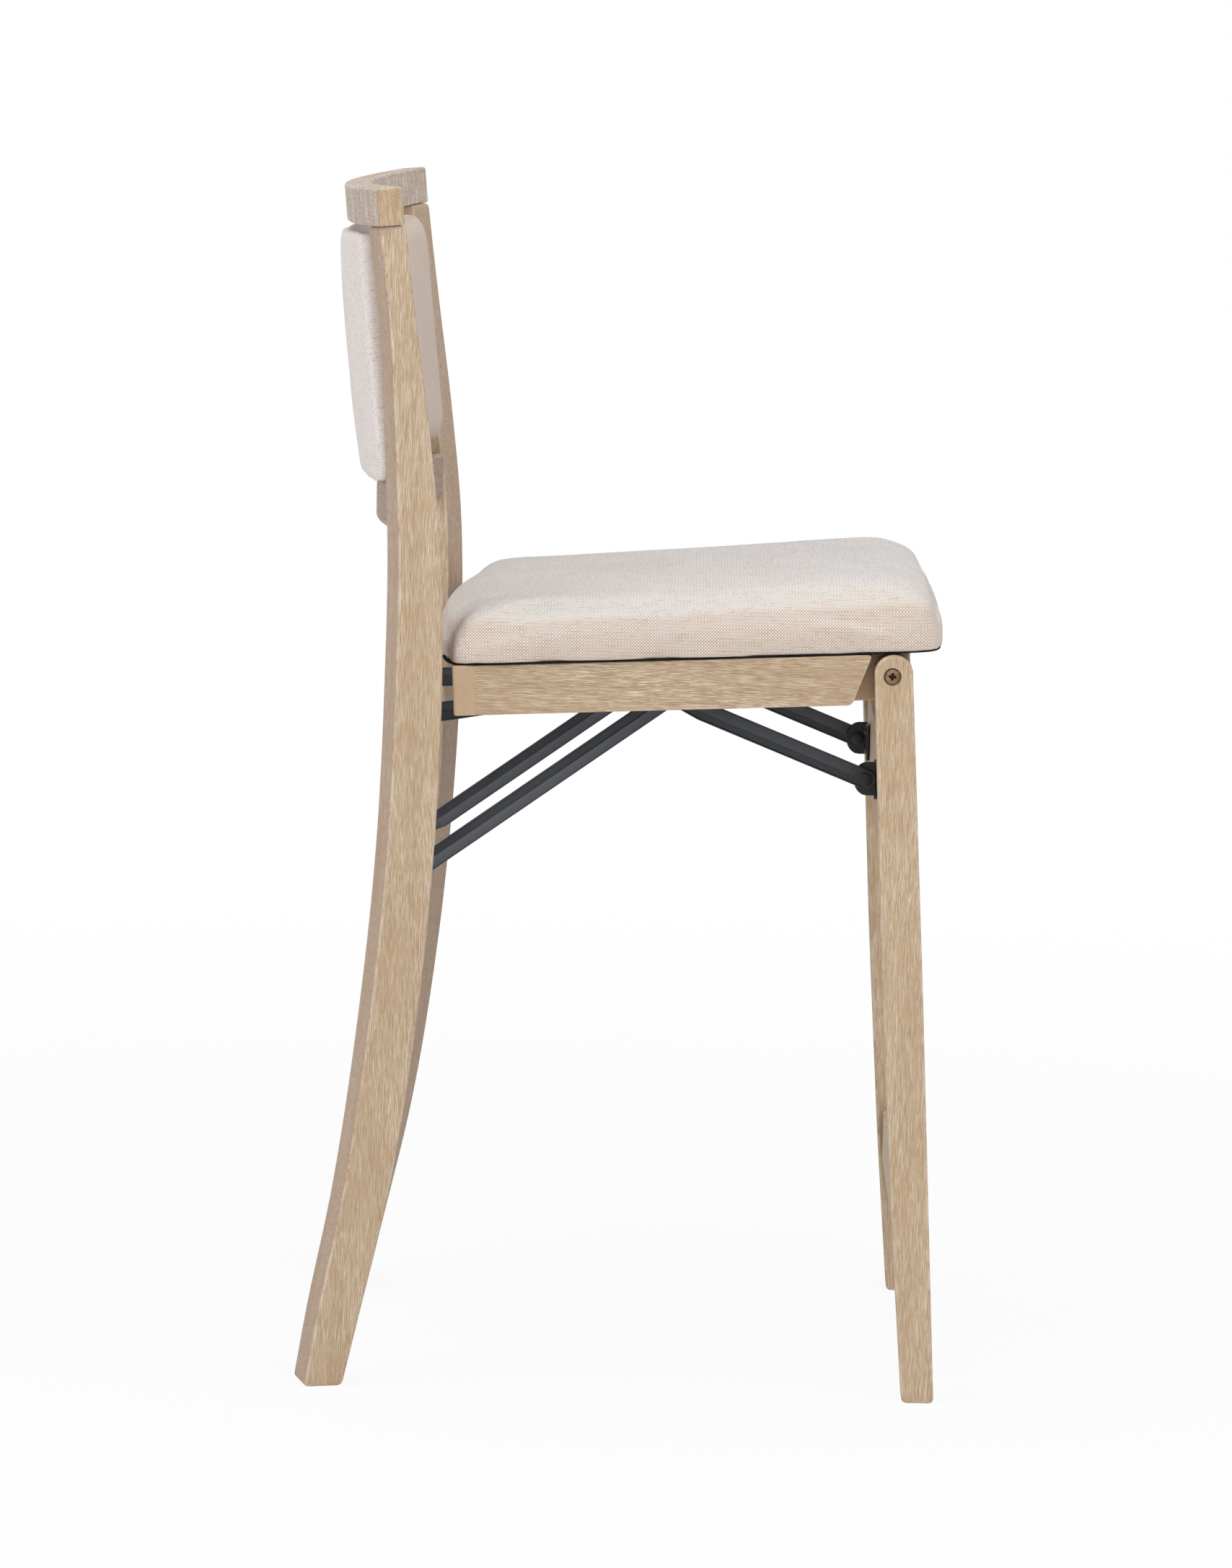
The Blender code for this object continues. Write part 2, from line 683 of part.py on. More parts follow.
def seat_cushion(coll, cutters):
    """Crowned cushion whose sides draw in towards the top, hollow below for its board."""
    cushion = cushion_cage("seat_cushion", 6, coll)
    low = rail_height + 2 * fit_gap + cover_thickness

    def form(x, y, z):
        edge = np.maximum(np.abs(x), np.abs(y))
        level = (np.sign(z) * np.abs(z) ** 0.8 + 1) / 2
        above = np.maximum(0.0, level - cushion_widest) / (1 - cushion_widest)
        below = np.maximum(0.0, cushion_widest - level) / cushion_widest
        draw = cushion_draw * above ** 2 + cushion_tuck * below ** 2
        wide = np.sign(x) * np.abs(x) ** 0.8
        long = np.sign(y) * np.abs(y) ** 0.8
        across, rearward = cushion_plan(wide, long)
        across = across - draw * wide
        rearward = rearward - draw * long
        height = cushion_height_rear + (cushion_height_front - cushion_height_rear) * (1 - y) / 2
        crown = 1.0 - 0.16 * edge ** 5 - 0.05 * x ** 2 * y ** 2
        return across, rearward, low + level * height * crown

    shape_points(cushion, form)
    subdivide(cushion)
    apply_modifiers(cushion)
    lowest = min(v.co.z for v in cushion.data.vertices)
    set_place(cushion, Matrix.Translation((0.0, 0.0, low - lowest)))
    set_place(cushion, seat_frame())
    recess = plan_slab("board_recess", board_inset - fit_gap, low - 0.01, low + board_thickness + fit_gap, coll)
    boolean(cushion, recess, "DIFFERENCE", cutters)
    return cushion


def plan_slab(name, inset, low, high, coll):
    """Flat slab with the cushion's plan, drawn in by an inset, in the seat's frame."""
    steps = 7
    edge = [(-1 + 2 * k / steps) for k in range(steps)]
    square = [(t, -1.0) for t in edge] + [(1.0, t) for t in edge]
    square += [(-t, 1.0) for t in edge] + [(-1.0, -t) for t in edge]
    outline = []
    for sx, sy in square:
        x, y = cushion_plan(np.array(sx), np.array(sy))
        shrink_x = 1.0 - inset / cushion_half_rear
        centre = -(seat_along(cushion_front) + seat_along(cushion_rear)) / 2
        shrink_y = 1.0 - inset / ((cushion_front - cushion_rear) / 2)
        outline.append((float(x) * shrink_x, centre + (float(y) - centre) * shrink_y))
    slab = flat_solid(name, outline, high - low, coll)
    set_place(slab, Matrix.Translation((0.0, 0.0, (low + high) / 2)))
    return set_place(slab, seat_frame())


def seat_bracket(name, side, coll, cutters):
    """Steel angle under the seat board: an upright plate for the pins and a flange to the board."""
    rear = seat_along(upper_bar_pin[0]) - seat_plate_margin
    front = seat_along(lower_bar_pin[0]) + seat_plate_margin
    inner = seat_plate_inner
    outer = inner + plate_thickness
    flange_low = rail_height - plate_thickness
    outline = [(inner - seat_flange_width, flange_low), (inner, flange_low), (inner, seat_plate_low),
               (outer, seat_plate_low), (outer, rail_height), (inner - seat_flange_width, rail_height)]
    plate = flat_solid(name, [(side * x, z) for x, z in outline], front - rear, coll)
    set_place(plate, Matrix.Translation((0.0, -(front + rear) / 2, 0.0)) @ Matrix.Rotation(math.radians(90), 4, "X"))
    set_place(plate, seat_frame())
    round_edges(plate, steel_round, 1)
    hole = pin_solid(name + "_hole", upper_bar_pin, rivet_radius + run_gap, side * (inner - 0.01),
                     side * (inner + 0.01), coll)
    return boolean(plate, hole, "DIFFERENCE", cutters)


def screw_head(name, coll):
    """Domed head of a small plate screw, about the middle of its height."""
    bm = bmesh.new()
    bmesh.ops.create_cone(bm, cap_ends=True, segments=16, radius1=plate_screw_radius * 0.7,
                          radius2=plate_screw_radius, depth=plate_screw_height)
    return object_from_bmesh(name, bm, coll)


def seat_bracket_screw(name, side, along, coll):
    head = screw_head(name, coll)
    x = side * (seat_plate_inner - seat_flange_width / 2)
    z = rail_height - plate_thickness - fit_gap - plate_screw_height / 2
    return set_place(head, seat_frame() @ Matrix.Translation((x, -along, z)))


def front_leg(name, side, coll, cutters):
    """Tapered front leg with a half-round top, a counterbore and a screw hole."""
    rear = [(row[1], row[0]) for row in leg_stations]
    front = [(row[2], row[0]) for row in leg_stations]
    top = leg_stations[-1]
    radius = (top[2] - top[1]) / 2
    centre = ((top[1] + top[2]) / 2, top[0])
    arc = []
    for k in range(1, leg_top_steps):
        a = math.pi * (1 - k / leg_top_steps)
        arc.append((centre[0] + radius * math.cos(a), centre[1] + radius * math.sin(a)))
    leg = flat_solid(name, rear + arc + front[::-1], leg_width, coll)
    set_place(leg, side_frame(side * (leg_outer - leg_width / 2)))
    round_edges(leg, edge_round)
    sink = pin_solid(name + "_sink", seat_pivot, counterbore_radius, side * (leg_outer - counterbore_depth),
                     side * (leg_outer + 0.01), coll, 32)
    boolean(leg, sink, "DIFFERENCE", cutters)
    hole = pin_solid(name + "_hole", seat_pivot, screw_shank_radius + run_gap, side * (leg_outer - 0.05),
                     side * (leg_outer + 0.01), coll)
    return boolean(leg, hole, "DIFFERENCE", cutters)


def pivot_block(name, side, coll, cutters):
    """Wooden block behind the leg's top that the pivot screw bites into."""
    rear = seat_along(block_rear)
    front = seat_along(apron_front)
    low_x = min(side * block_inner, side * block_outer)
    high_x = max(side * block_inner, side * block_outer)
    block = seat_box(name, (low_x, rear, 0.001), (high_x, front, rail_height), coll)
    round_edges(block, edge_round * 0.5, 1)
    hole = pin_solid(name + "_hole", seat_pivot, screw_shank_radius + run_gap,
                     side * (screw_tip() - fit_gap), side * (block_outer + 0.01), coll)
    return boolean(block, hole, "DIFFERENCE", cutters)


def screw_tip():
    """Distance from the middle of a pivot screw's tip."""
    return leg_outer - counterbore_depth + fit_gap + screw_head_height - screw_length


def pivot_screw(name, side, coll, cutters):
    """Turned screw: a head in the leg's counterbore and a shank into the block."""
    seat = leg_outer - counterbore_depth + fit_gap
    head = pin_solid(name, seat_pivot, screw_head_radius, side * seat, side * (seat + screw_head_height), coll, 32)
    shank = pin_solid(name + "_shank", seat_pivot, screw_shank_radius, side * screw_tip(),
                      side * (seat + screw_head_height / 2), coll)
    return boolean(head, shank, "UNION", cutters)


def pivot_washer(name, side, coll, cutters):
    outer = leg_outer - leg_width - fit_gap
    inner = block_outer + fit_gap
    ring = pin_solid(name, seat_pivot, washer_radius, side * inner, side * outer, coll)
    hole = pin_solid(name + "_hole", seat_pivot, screw_shank_radius + run_gap, side * (inner - 0.01),
                     side * (outer + 0.01), coll)
    return boolean(ring, hole, "DIFFERENCE", cutters)


def leg_bracket(name, side, coll, cutters):
    """D-shaped plate with a flange against the front legs' cross rail."""
    middle = leg_bracket_pin[1]
    face = cross_rail_rear - fit_gap
    half = leg_plate_height / 2
    depth = face - leg_plate_rear
    bend = face - plate_thickness / 2
    outline = [(bend, middle - half), (bend, middle + half)]
    for k in range(0, 13):
        a = math.pi / 2 + math.pi * k / 12
        outline.append((face - 0.45 * depth + 0.55 * depth * math.cos(a), middle + half * math.sin(a)))
    plate = flat_solid(name, outline, plate_thickness, coll)
    set_place(plate, side_frame(side * (leg_plate_inner + plate_thickness / 2)))
    ends = (side * (leg_plate_inner - leg_flange_width), side * (leg_plate_inner + plate_thickness / 2))
    flange = box_solid(name + "_flange", (min(ends), y_of(face), middle - half - leg_flange_drop),
                       (max(ends), y_of(face - plate_thickness), middle + half - steel_round), coll)
    round_edges(plate, steel_round, 1)
    round_edges(flange, steel_round, 1)
    boolean(plate, flange, "UNION", cutters)
    hole = pin_solid(name + "_hole", leg_bracket_pin, rivet_radius + run_gap, side * (leg_plate_inner - 0.01),
                     side * (leg_plate_inner + 0.02), coll)
    return boolean(plate, hole, "DIFFERENCE", cutters)


def leg_bracket_screw(name, side, rise, coll):
    head = screw_head(name, coll)
    x = side * (leg_plate_inner - leg_flange_width * 0.62)
    y = y_of(cross_rail_rear - fit_gap - plate_thickness - fit_gap) + plate_screw_height / 2
    turn = Matrix.Rotation(math.radians(90), 4, "X")
    return set_place(head, Matrix.Translation((x, y, leg_bracket_pin[1] + rise)) @ turn)


def rivet(name, side, place, from_x, to_x, inner_head, outer_head, coll, cutters):
    """Rivet from one distance from the middle to another; a head may be as long as a spacer."""
    stem = pin_solid(name, place, rivet_radius, side * (from_x - inner_head / 2), side * (to_x + outer_head / 2),
                     coll)
    for end, way, length in ((from_x, -1, inner_head), (to_x, 1, outer_head)):
        if length:
            head = pin_solid(name + "_head", place, rivet_head_radius, side * end, side * (end + way * length), coll)
            boolean(stem, head, "UNION", cutters)
    return stem


def moving_body(name):
    """Name of the moving body that a piece belongs to, or None on the rear frame."""
    starts = (
        ("upper_rear_bars", ("upper_rear_bar", "upper_bar_rivet")),
        ("lower_rear_bars", ("lower_rear_bar", "lower_bar_rivet")),
        ("front_bars", ("front_bar_", "elbow_rivet")),
        ("front_legs", ("front_leg", "front_cross_rail", "footrest", "leg_bracket")),
        ("seat", ("seat_", "pivot_block", "pivot_screw", "pivot_washer", "dust_cover")),
    )
    for body, words in starts:
        if name.startswith(words):
            return body
    return None


def hang_on_pivots(pieces, coll):
    """Parents the moving pieces to empties on their bodies' joint axes."""
    tree = (("upper_rear_bars", None, upper_rod), ("seat", "upper_rear_bars", upper_bar_pin),
            ("front_legs", "seat", seat_pivot), ("front_bars", "front_legs", leg_bracket_pin),
            ("lower_rear_bars", None, lower_rod))
    pivots = {}
    for body, parent, place in tree:
        pivot = bpy.data.objects.new("pivot_of_" + body, None)
        pivot.empty_display_size = 0.05
        pivot.location = (0.0, y_of(place[0]), place[1])
        coll.objects.link(pivot)
        bpy.context.view_layer.update()
        if parent:
            world = pivot.matrix_world.copy()
            pivot.parent = pivots[parent]
            pivot.matrix_world = world
            bpy.context.view_layer.update()
        pivots[body] = pivot
    for piece in pieces:
        body = moving_body(piece.name)
        if body:
            piece.parent = pivots[body]
            piece.matrix_parent_inverse = pivots[body].matrix_world.inverted()


def build():
    clear_scene()
    parts = new_collection("folding_counter_stool")
    cutters = new_collection("cutters")
    mats = make_materials()
    made = []

    def keep(obj, material):
        made.append((obj, material))
        return obj

    sides = (("left", 1), ("right", -1))
    for word, side in sides:
        keep(rear_post("rear_post_" + word, side, parts, cutters), "wood")
        keep(side_rail("seat_side_rail_" + word, side, parts), "wood")
        keep(front_leg("front_leg_" + word, side, parts, cutters), "wood")
        keep(pivot_block("pivot_block_" + word, side, parts, cutters), "wood_shade")
        keep(pivot_screw("pivot_screw_" + word, side, parts, cutters), "bronze_screw")
        upper_path = (upper_rod,) + upper_bar_bends + (upper_bar_pin,)
        keep(steel_bar("upper_rear_bar_" + word, side, upper_path, upper_bar_inner, (upper_rod,),
                       ((upper_rod, rod_radius), (upper_bar_pin, rivet_radius)), parts, cutters), "black_steel")
        lower_path = (lower_bar_start, elbow_pin, lower_bar_pin)
        keep(steel_bar("lower_rear_bar_" + word, side, lower_path, lower_bar_inner, (lower_rod,),
                       ((lower_rod, rod_radius), (lower_bar_pin, rivet_radius)), parts, cutters), "black_steel")
        front_path = (elbow_pin, front_bar_bend, leg_bracket_pin)
        keep(steel_bar("front_bar_" + word, side, front_path, front_bar_inner, (),
                       ((elbow_pin, rivet_radius), (leg_bracket_pin, rivet_radius)), parts, cutters), "black_steel")
        keep(seat_bracket("seat_bracket_" + word, side, parts, cutters), "black_steel")
        keep(leg_bracket("leg_bracket_" + word, side, parts, cutters), "black_steel")
        keep(pivot_washer("pivot_washer_" + word, side, parts, cutters), "black_steel")
        keep(rivet("upper_bar_rivet_" + word, side, upper_bar_pin, upper_bar_inner - fit_gap,
                   seat_plate_inner + plate_thickness, rivet_head_height, 0, parts, cutters), "black_steel")
        keep(rivet("lower_bar_rivet_" + word, side, lower_bar_pin, lower_bar_inner,
                   lower_bar_inner + bar_thickness + fit_gap, 0, rivet_head_height, parts, cutters), "black_steel")
        spacer = front_bar_inner - lower_bar_inner - bar_thickness - 2 * fit_gap
        keep(rivet("elbow_rivet_" + word, side, elbow_pin, front_bar_inner - fit_gap,
                   front_bar_inner + bar_thickness + fit_gap, spacer, rivet_head_height, parts, cutters),
             "black_steel")
        keep(rivet("leg_bracket_rivet_" + word, side, leg_bracket_pin, leg_plate_inner - fit_gap,
                   front_bar_inner + bar_thickness + fit_gap, rivet_head_height, rivet_head_height, parts,
                   cutters), "black_steel")
        for place, along in (("rear", seat_along(upper_bar_pin[0]) - seat_plate_margin / 2),
                             ("front", seat_along(lower_bar_pin[0]) + seat_plate_margin / 2)):
            keep(seat_bracket_screw("seat_bracket_screw_" + place + "_" + word, side, along, parts),
                 "black_steel")
        for place, rise in (("low", -0.0075), ("high", 0.0075)):
            keep(leg_bracket_screw("leg_bracket_screw_" + place + "_" + word, side, rise, parts), "black_steel")

    rail = keep(top_rail(parts), "wood")
    round_edges(rail, edge_round)
    keep(lower_back_rail(parts, cutters), "wood")
    keep(back_pad_board(parts, cutters), "plywood")
    keep(back_pad(parts, cutters), "linen")
    keep(pivot_rod("upper_pivot_rod", upper_rod, upper_bar_inner, parts), "black_steel")
    keep(pivot_rod("lower_pivot_rod", lower_rod, lower_bar_inner, parts), "black_steel")

    keep(seat_rear_rail(parts, cutters), "wood")
    apron_rear = apron_front - apron_depth
    apron = keep(seat_box("seat_front_apron", (-block_inner + fit_gap, seat_along(apron_rear), 0.003),
                          (block_inner - fit_gap, seat_along(apron_front), rail_height), parts), "wood_shade")
    round_edges(apron, edge_round * 0.5, 1)
    cover_low = rail_height + fit_gap
    keep(plan_slab("dust_cover", cover_inset, cover_low, cover_low + cover_thickness, parts), "black_cloth")
    board_low = cover_low + cover_thickness + fit_gap
    keep(plan_slab("seat_board", board_inset, board_low, board_low + board_thickness - fit_gap, parts), "plywood")
    keep(seat_cushion(parts, cutters), "linen")

    leg_inner = leg_outer - leg_width - fit_gap
    for name, rear, depth, low, high in (
            ("front_cross_rail", cross_rail_rear, cross_rail_depth, cross_rail_low, cross_rail_high),
            ("footrest", footrest_rear, footrest_depth, footrest_low, footrest_high)):
        bar = box_solid(name, (-leg_inner, y_of(rear + depth), low), (leg_inner, y_of(rear), high), parts)
        round_edges(bar, edge_round)
        keep(bar, "wood")

    for obj, material in made:
        dress(obj, mats[material])
    hang_on_pivots([obj for obj, _ in made], parts)
    bpy.context.view_layer.update()


build()
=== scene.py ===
import math

import bpy
import numpy as np
from mathutils import Matrix, Vector


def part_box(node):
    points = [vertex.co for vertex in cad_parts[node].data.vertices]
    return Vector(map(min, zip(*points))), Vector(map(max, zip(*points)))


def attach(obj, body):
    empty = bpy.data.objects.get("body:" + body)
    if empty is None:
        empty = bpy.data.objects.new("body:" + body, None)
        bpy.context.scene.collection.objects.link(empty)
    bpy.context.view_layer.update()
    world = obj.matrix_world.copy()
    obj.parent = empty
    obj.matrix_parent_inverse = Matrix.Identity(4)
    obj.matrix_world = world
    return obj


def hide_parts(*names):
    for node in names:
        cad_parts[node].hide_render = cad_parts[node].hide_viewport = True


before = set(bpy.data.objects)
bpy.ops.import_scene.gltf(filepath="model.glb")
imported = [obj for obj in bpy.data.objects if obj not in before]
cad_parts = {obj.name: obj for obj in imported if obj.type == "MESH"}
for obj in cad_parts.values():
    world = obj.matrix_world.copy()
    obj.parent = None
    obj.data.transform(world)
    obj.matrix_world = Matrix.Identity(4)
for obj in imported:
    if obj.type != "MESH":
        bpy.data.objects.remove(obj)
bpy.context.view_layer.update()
print("frame loaded:", len(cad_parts), "nodes")

depthMark = -0.07257       # "ahead" of the middle of the depth: world Y is depthMark - ahead
sides = (("left", 1), ("right", -1))


def yOf(ahead):
    return depthMark - ahead


def shade(red, green, blue):
    # a colour as a paint card gives it, 0 to 255, made linear
    line = [((c / 255 + 0.055) / 1.055) ** 2.4 if c > 10 else c / 3294.6 for c in (red, green, blue)]
    return (*line, 1.0)


def carried(matrix, points):
    # rows of points through a 4 x 4 matrix
    m = np.array(matrix)
    return points @ m[:3, :3].T + m[:3, 3]


# Node helpers

def wire(tree, value, socket):
    if isinstance(value, bpy.types.NodeSocket):
        tree.links.new(value, socket)
    else:
        socket.default_value = value


def put(tree, kind, settings=None, **inputs):
    made = tree.nodes.new("ShaderNode" + kind)
    for key, value in (settings or {}).items():
        setattr(made, key, value)
    for key, value in inputs.items():
        wire(tree, value, made.inputs[key.replace("_", " ")])
    return made


def maths(tree, operation, a, b=0.0):
    made = put(tree, "Math", {"operation": operation})
    wire(tree, a, made.inputs[0])
    wire(tree, b, made.inputs[1])
    return made.outputs[0]


def stretched(tree, place, factors):
    made = put(tree, "VectorMath", {"operation": "MULTIPLY"})
    wire(tree, place, made.inputs[0])
    made.inputs[1].default_value = factors
    return made.outputs[0]


def noise(tree, place, scale=1.0, detail=2.0, roughness=0.5):
    return put(tree, "TexNoise", Vector=place, Scale=scale, Detail=detail, Roughness=roughness).outputs[0]


def streaks(tree, place, factors, detail, roughness=0.5):
    # noise whose cells are 1 / factor long in each direction
    return noise(tree, stretched(tree, place, factors), 1, detail, roughness)


def between(tree, value, low, high, toLow=0.0, toHigh=1.0):
    made = put(tree, "MapRange", {"interpolation_type": "SMOOTHSTEP"}, Value=value)
    for slot, number in zip((1, 2, 3, 4), (low, high, toLow, toHigh)):
        wire(tree, number, made.inputs[slot])
    return made.outputs[0]


def mixed(tree, share, a, b, blend="MIX"):
    made = put(tree, "Mix", {"data_type": "RGBA", "blend_type": blend})
    for slot, value in ((0, share), (6, a), (7, b)):
        wire(tree, value, made.inputs[slot])
    return made.outputs[2]


def mixedValue(tree, share, a, b):
    made = put(tree, "Mix", {"data_type": "FLOAT"})
    for slot, value in ((0, share), (2, a), (3, b)):
        wire(tree, value, made.inputs[slot])
    return made.outputs[0]


def embossed(tree, height, strength, distance, socket):
    wire(tree, put(tree, "Bump", Strength=strength, Distance=distance, Height=height).outputs[0], socket)


def newGroup(name, inputs, outputs):
    group = bpy.data.node_groups.new(name, "ShaderNodeTree")
    for label, kind, value in inputs:
        socket = group.interface.new_socket(name=label, in_out="INPUT", socket_type="NodeSocket" + kind)
        if value is not None:
            socket.default_value = value
    for label, kind in outputs:
        group.interface.new_socket(name=label, in_out="OUTPUT", socket_type="NodeSocket" + kind)
    return group, group.nodes.new("NodeGroupInput").outputs, group.nodes.new("NodeGroupOutput").inputs


def placed(tree, group, **inputs):
    made = tree.nodes.new("ShaderNodeGroup")
    made.node_tree = group
    for key, value in inputs.items():
        wire(tree, value, made.inputs[key.replace("_", " ")])
    return made.outputs


def newMaterial(name, **fixed):
    mat = bpy.data.materials.new(name)
    mat.use_nodes = True
    shader = mat.node_tree.nodes["Principled BSDF"]
    for key, value in fixed.items():
        shader.inputs[key.replace("_", " ")].default_value = value
    return mat, mat.node_tree, shader.inputs


# Limed oak: fine fibres, pale lime in the pores and slow bands of tone, all drawn out along X

def buildLimedGrain():
    group, given, out = newGroup(
        "Limed grain",
        (("Place", "Vector", None),
         ("Base", "Color", (0.5, 0.4, 0.3, 1)), ("Lime", "Color", (0.7, 0.6, 0.5, 1)),
         ("Pore", "Color", (0.3, 0.2, 0.15, 1)), ("Liming", "Float", 0.6), ("Waviness", "Float", 0.004)),
        (("Color", "Color"), ("Roughness", "Float"), ("Height", "Float")))
    t = group
    wave = maths(t, "SUBTRACT", streaks(t, given["Place"], (5, 26, 26), 1), 0.5)
    drift = put(t, "CombineXYZ", Y=maths(t, "MULTIPLY", wave, given["Waviness"]),
                Z=maths(t, "MULTIPLY", wave, given["Waviness"])).outputs[0]
    place = put(t, "VectorMath", {"operation": "ADD"})
    wire(t, given["Place"], place.inputs[0])
    wire(t, drift, place.inputs[1])
    place = place.outputs[0]
    band = streaks(t, place, (1.8, 90, 90), 3, 0.6)
    fibre = streaks(t, place, (20, 1400, 1400), 3, 0.7)
    dash = streaks(t, place, (62, 1550, 1550), 2, 0.55)
    hair = streaks(t, place, (75, 3300, 3300), 1, 0.5)
    pore = streaks(t, place, (50, 2000, 2000), 1, 0.5)
    dry = streaks(t, place, (7, 34, 34), 3, 0.6)
    limed = maths(t, "MAXIMUM", between(t, dash, 0.57, 0.63, 0.0, 0.8), between(t, hair, 0.56, 0.60, 0.0, 1.0))
    limed = maths(t, "MULTIPLY", limed, given["Liming"])
    limed = maths(t, "MULTIPLY", limed, between(t, dry, 0.28, 0.72, 0.35, 1.0))
    dark = between(t, pore, 0.58, 0.66, 0.0, 0.50)
    tone = between(t, band, 0.30, 0.70)
    darker, paler = mixed(t, 0.30, given["Base"], given["Pore"]), mixed(t, 0.08, given["Base"], given["Lime"])
    body = mixed(t, tone, darker, paler)
    body = mixed(t, between(t, fibre, 0.30, 0.66, 0.15, 0.75), body, given["Base"])
    body = mixed(t, limed, body, given["Lime"])
    body = mixed(t, dark, body, given["Pore"])
    wire(t, body, out["Color"])
    wire(t, between(t, fibre, 0.3, 0.7, 0.52, 0.68), out["Roughness"])
    relief = maths(t, "SUBTRACT", maths(t, "MULTIPLY", fibre, 0.6), maths(t, "MULTIPLY", dark, 0.7))
    wire(t, maths(t, "ADD", relief, maths(t, "MULTIPLY", limed, 0.2)), out["Height"])
    return group


# Worn edges: the mask follows the piece's own edge attribute and is broken up by noise

def buildEdgeWear():
    group, given, out = newGroup("Edge wear", (("Place", "Vector", None), ("Amount", "Float", 0.5)),
                                 (("Mask", "Float"),))
    edge = put(group, "Attribute", {"attribute_name": "edge"}).outputs["Fac"]
    broken = between(group, noise(group, given["Place"], 70, 3, 0.6), 0.35, 0.65)
    wire(group, maths(group, "MULTIPLY", maths(group, "MULTIPLY", edge, broken), given["Amount"]), out["Mask"])
    return group


# Plain weave on a plane, on the bias: warp and weft are rounded ribs, |sin|, and the one on top changes on a
# checkerboard of half a pitch; Gap shows where both are low

def buildPlainWeave():
    group, given, out = newGroup(
        "Plain weave", (("Along", "Float", 0.0), ("Across", "Float", 0.0), ("Pitch", "Float", 0.001)),
        (("Height", "Float"), ("Warp", "Float"), ("Gap", "Float")))
    t = group
    turns = maths(t, "DIVIDE", math.pi * math.sqrt(0.5), given["Pitch"])
    a, b = (maths(t, "SINE", maths(t, "MULTIPLY", maths(t, way, given["Along"], given["Across"]), turns))
            for way in ("ADD", "SUBTRACT"))
    over = between(t, maths(t, "MULTIPLY", a, b), -0.25, 0.25)
    warp, weft = maths(t, "ABSOLUTE", a), maths(t, "ABSOLUTE", b)
    lifted = maths(t, "ADD", maths(t, "MULTIPLY", warp, over),
                   maths(t, "MULTIPLY", weft, maths(t, "SUBTRACT", 1.0, over)))
    wire(t, lifted, out["Height"])
    wire(t, over, out["Warp"])
    meeting = maths(t, "MULTIPLY", maths(t, "SUBTRACT", 1.0, warp), maths(t, "SUBTRACT", 1.0, weft))
    wire(t, between(t, meeting, 0.10, 0.60), out["Gap"])
    return group


limedGrain, edgeWear, plainWeave = buildLimedGrain(), buildEdgeWear(), buildPlainWeave()

oakTones = {
    "oak": (shade(186, 159, 127), shade(231, 217, 196), shade(150, 119, 89), 0.80, 0.003),
    "oakRail": (shade(176, 149, 118), shade(226, 211, 187), shade(140, 111, 84), 0.95, 0.0040),
    "oakGrey": (shade(182, 162, 145), shade(224, 214, 203), shade(140, 117, 100), 0.72, 0.004),
    "oakPlain": (shade(186, 157, 125), shade(218, 200, 176), shade(162, 132, 103), 0.35, 0.003),
    "oakDark": (shade(160, 138, 118), shade(196, 180, 162), shade(112, 90, 74), 0.55, 0.005),
}


def makeOak(name, turn=None, wear=0.5, paintedFacingLight=None, flecks=0.0):
    # turn brings Object coordinates' grain to X; without it the piece's own grain attribute is read
    # the facing colour argument is (axis, colour): faces that look along that axis, either way, are multiplied by
    # the colour, painting light and shade for how the lamps fall on those faces
    # flecks is the strength of the limed rays
    base, lime, pore, liming, waviness = oakTones[name.split("_")[0]]
    mat, t, into = newMaterial(name, Specular_IOR_Level=0.32)
    if turn is None:
        place = put(t, "Attribute", {"attribute_name": "grain"}).outputs["Vector"]
    else:
        mapping = put(t, "Mapping", Vector=put(t, "TexCoord").outputs["Object"])
        mapping.inputs["Rotation"].default_value = turn
        place = mapping.outputs[0]
    grain = placed(t, limedGrain, Place=place, Base=base, Lime=lime, Pore=pore, Liming=liming,
                   Waviness=waviness)
    colour = mixed(t, placed(t, edgeWear, Place=place, Amount=wear)[0], grain[0], lime)
    if flecks:
        ray = streaks(t, place, (210, 520, 50), 3, 0.65)
        colour = mixed(t, between(t, ray, 0.53, 0.60, 0.0, flecks), colour, lime)
        colour = mixed(t, between(t, ray, 0.38, 0.45, flecks * 0.5, 0.0), colour, pore)
    if paintedFacingLight:
        # painted light and shade: faces looking along the axis are multiplied by the facing colour
        facing = put(t, "SeparateXYZ", Vector=put(t, "TexCoord").outputs["Normal"]).outputs[paintedFacingLight[0]]
        turned = between(t, maths(t, "ABSOLUTE", facing), 0.55, 0.85)
        colour = mixed(t, turned, colour, mixed(t, 1.0, colour, paintedFacingLight[1], "MULTIPLY"))
    wire(t, colour, into["Base Color"])
    wire(t, grain[1], into["Roughness"])
    embossed(t, grain[2], 0.35, 0.0006, into["Normal"])
    return mat


# gap is the colour of painted shade in the weave's gaps and low threads
# top is the paler colour painted on upward faces, a painted reflection of the light from above
linenFinish = {"thread": 0.00170, "side": shade(233, 219, 206), "top": shade(243, 240, 236), "weft": 0.84,
               "gap": shade(132, 106, 86), "gapShadeShare": 0.78, "slub": shade(206, 184, 160), "relief": 0.0005}
# the pad's front colour is painted shade for its forward faces
padFinish = dict(linenFinish, side=shade(252, 246, 242), gap=shade(190, 164, 148), gapShadeShare=0.75, weft=0.92,
                 front=shade(212, 194, 179))


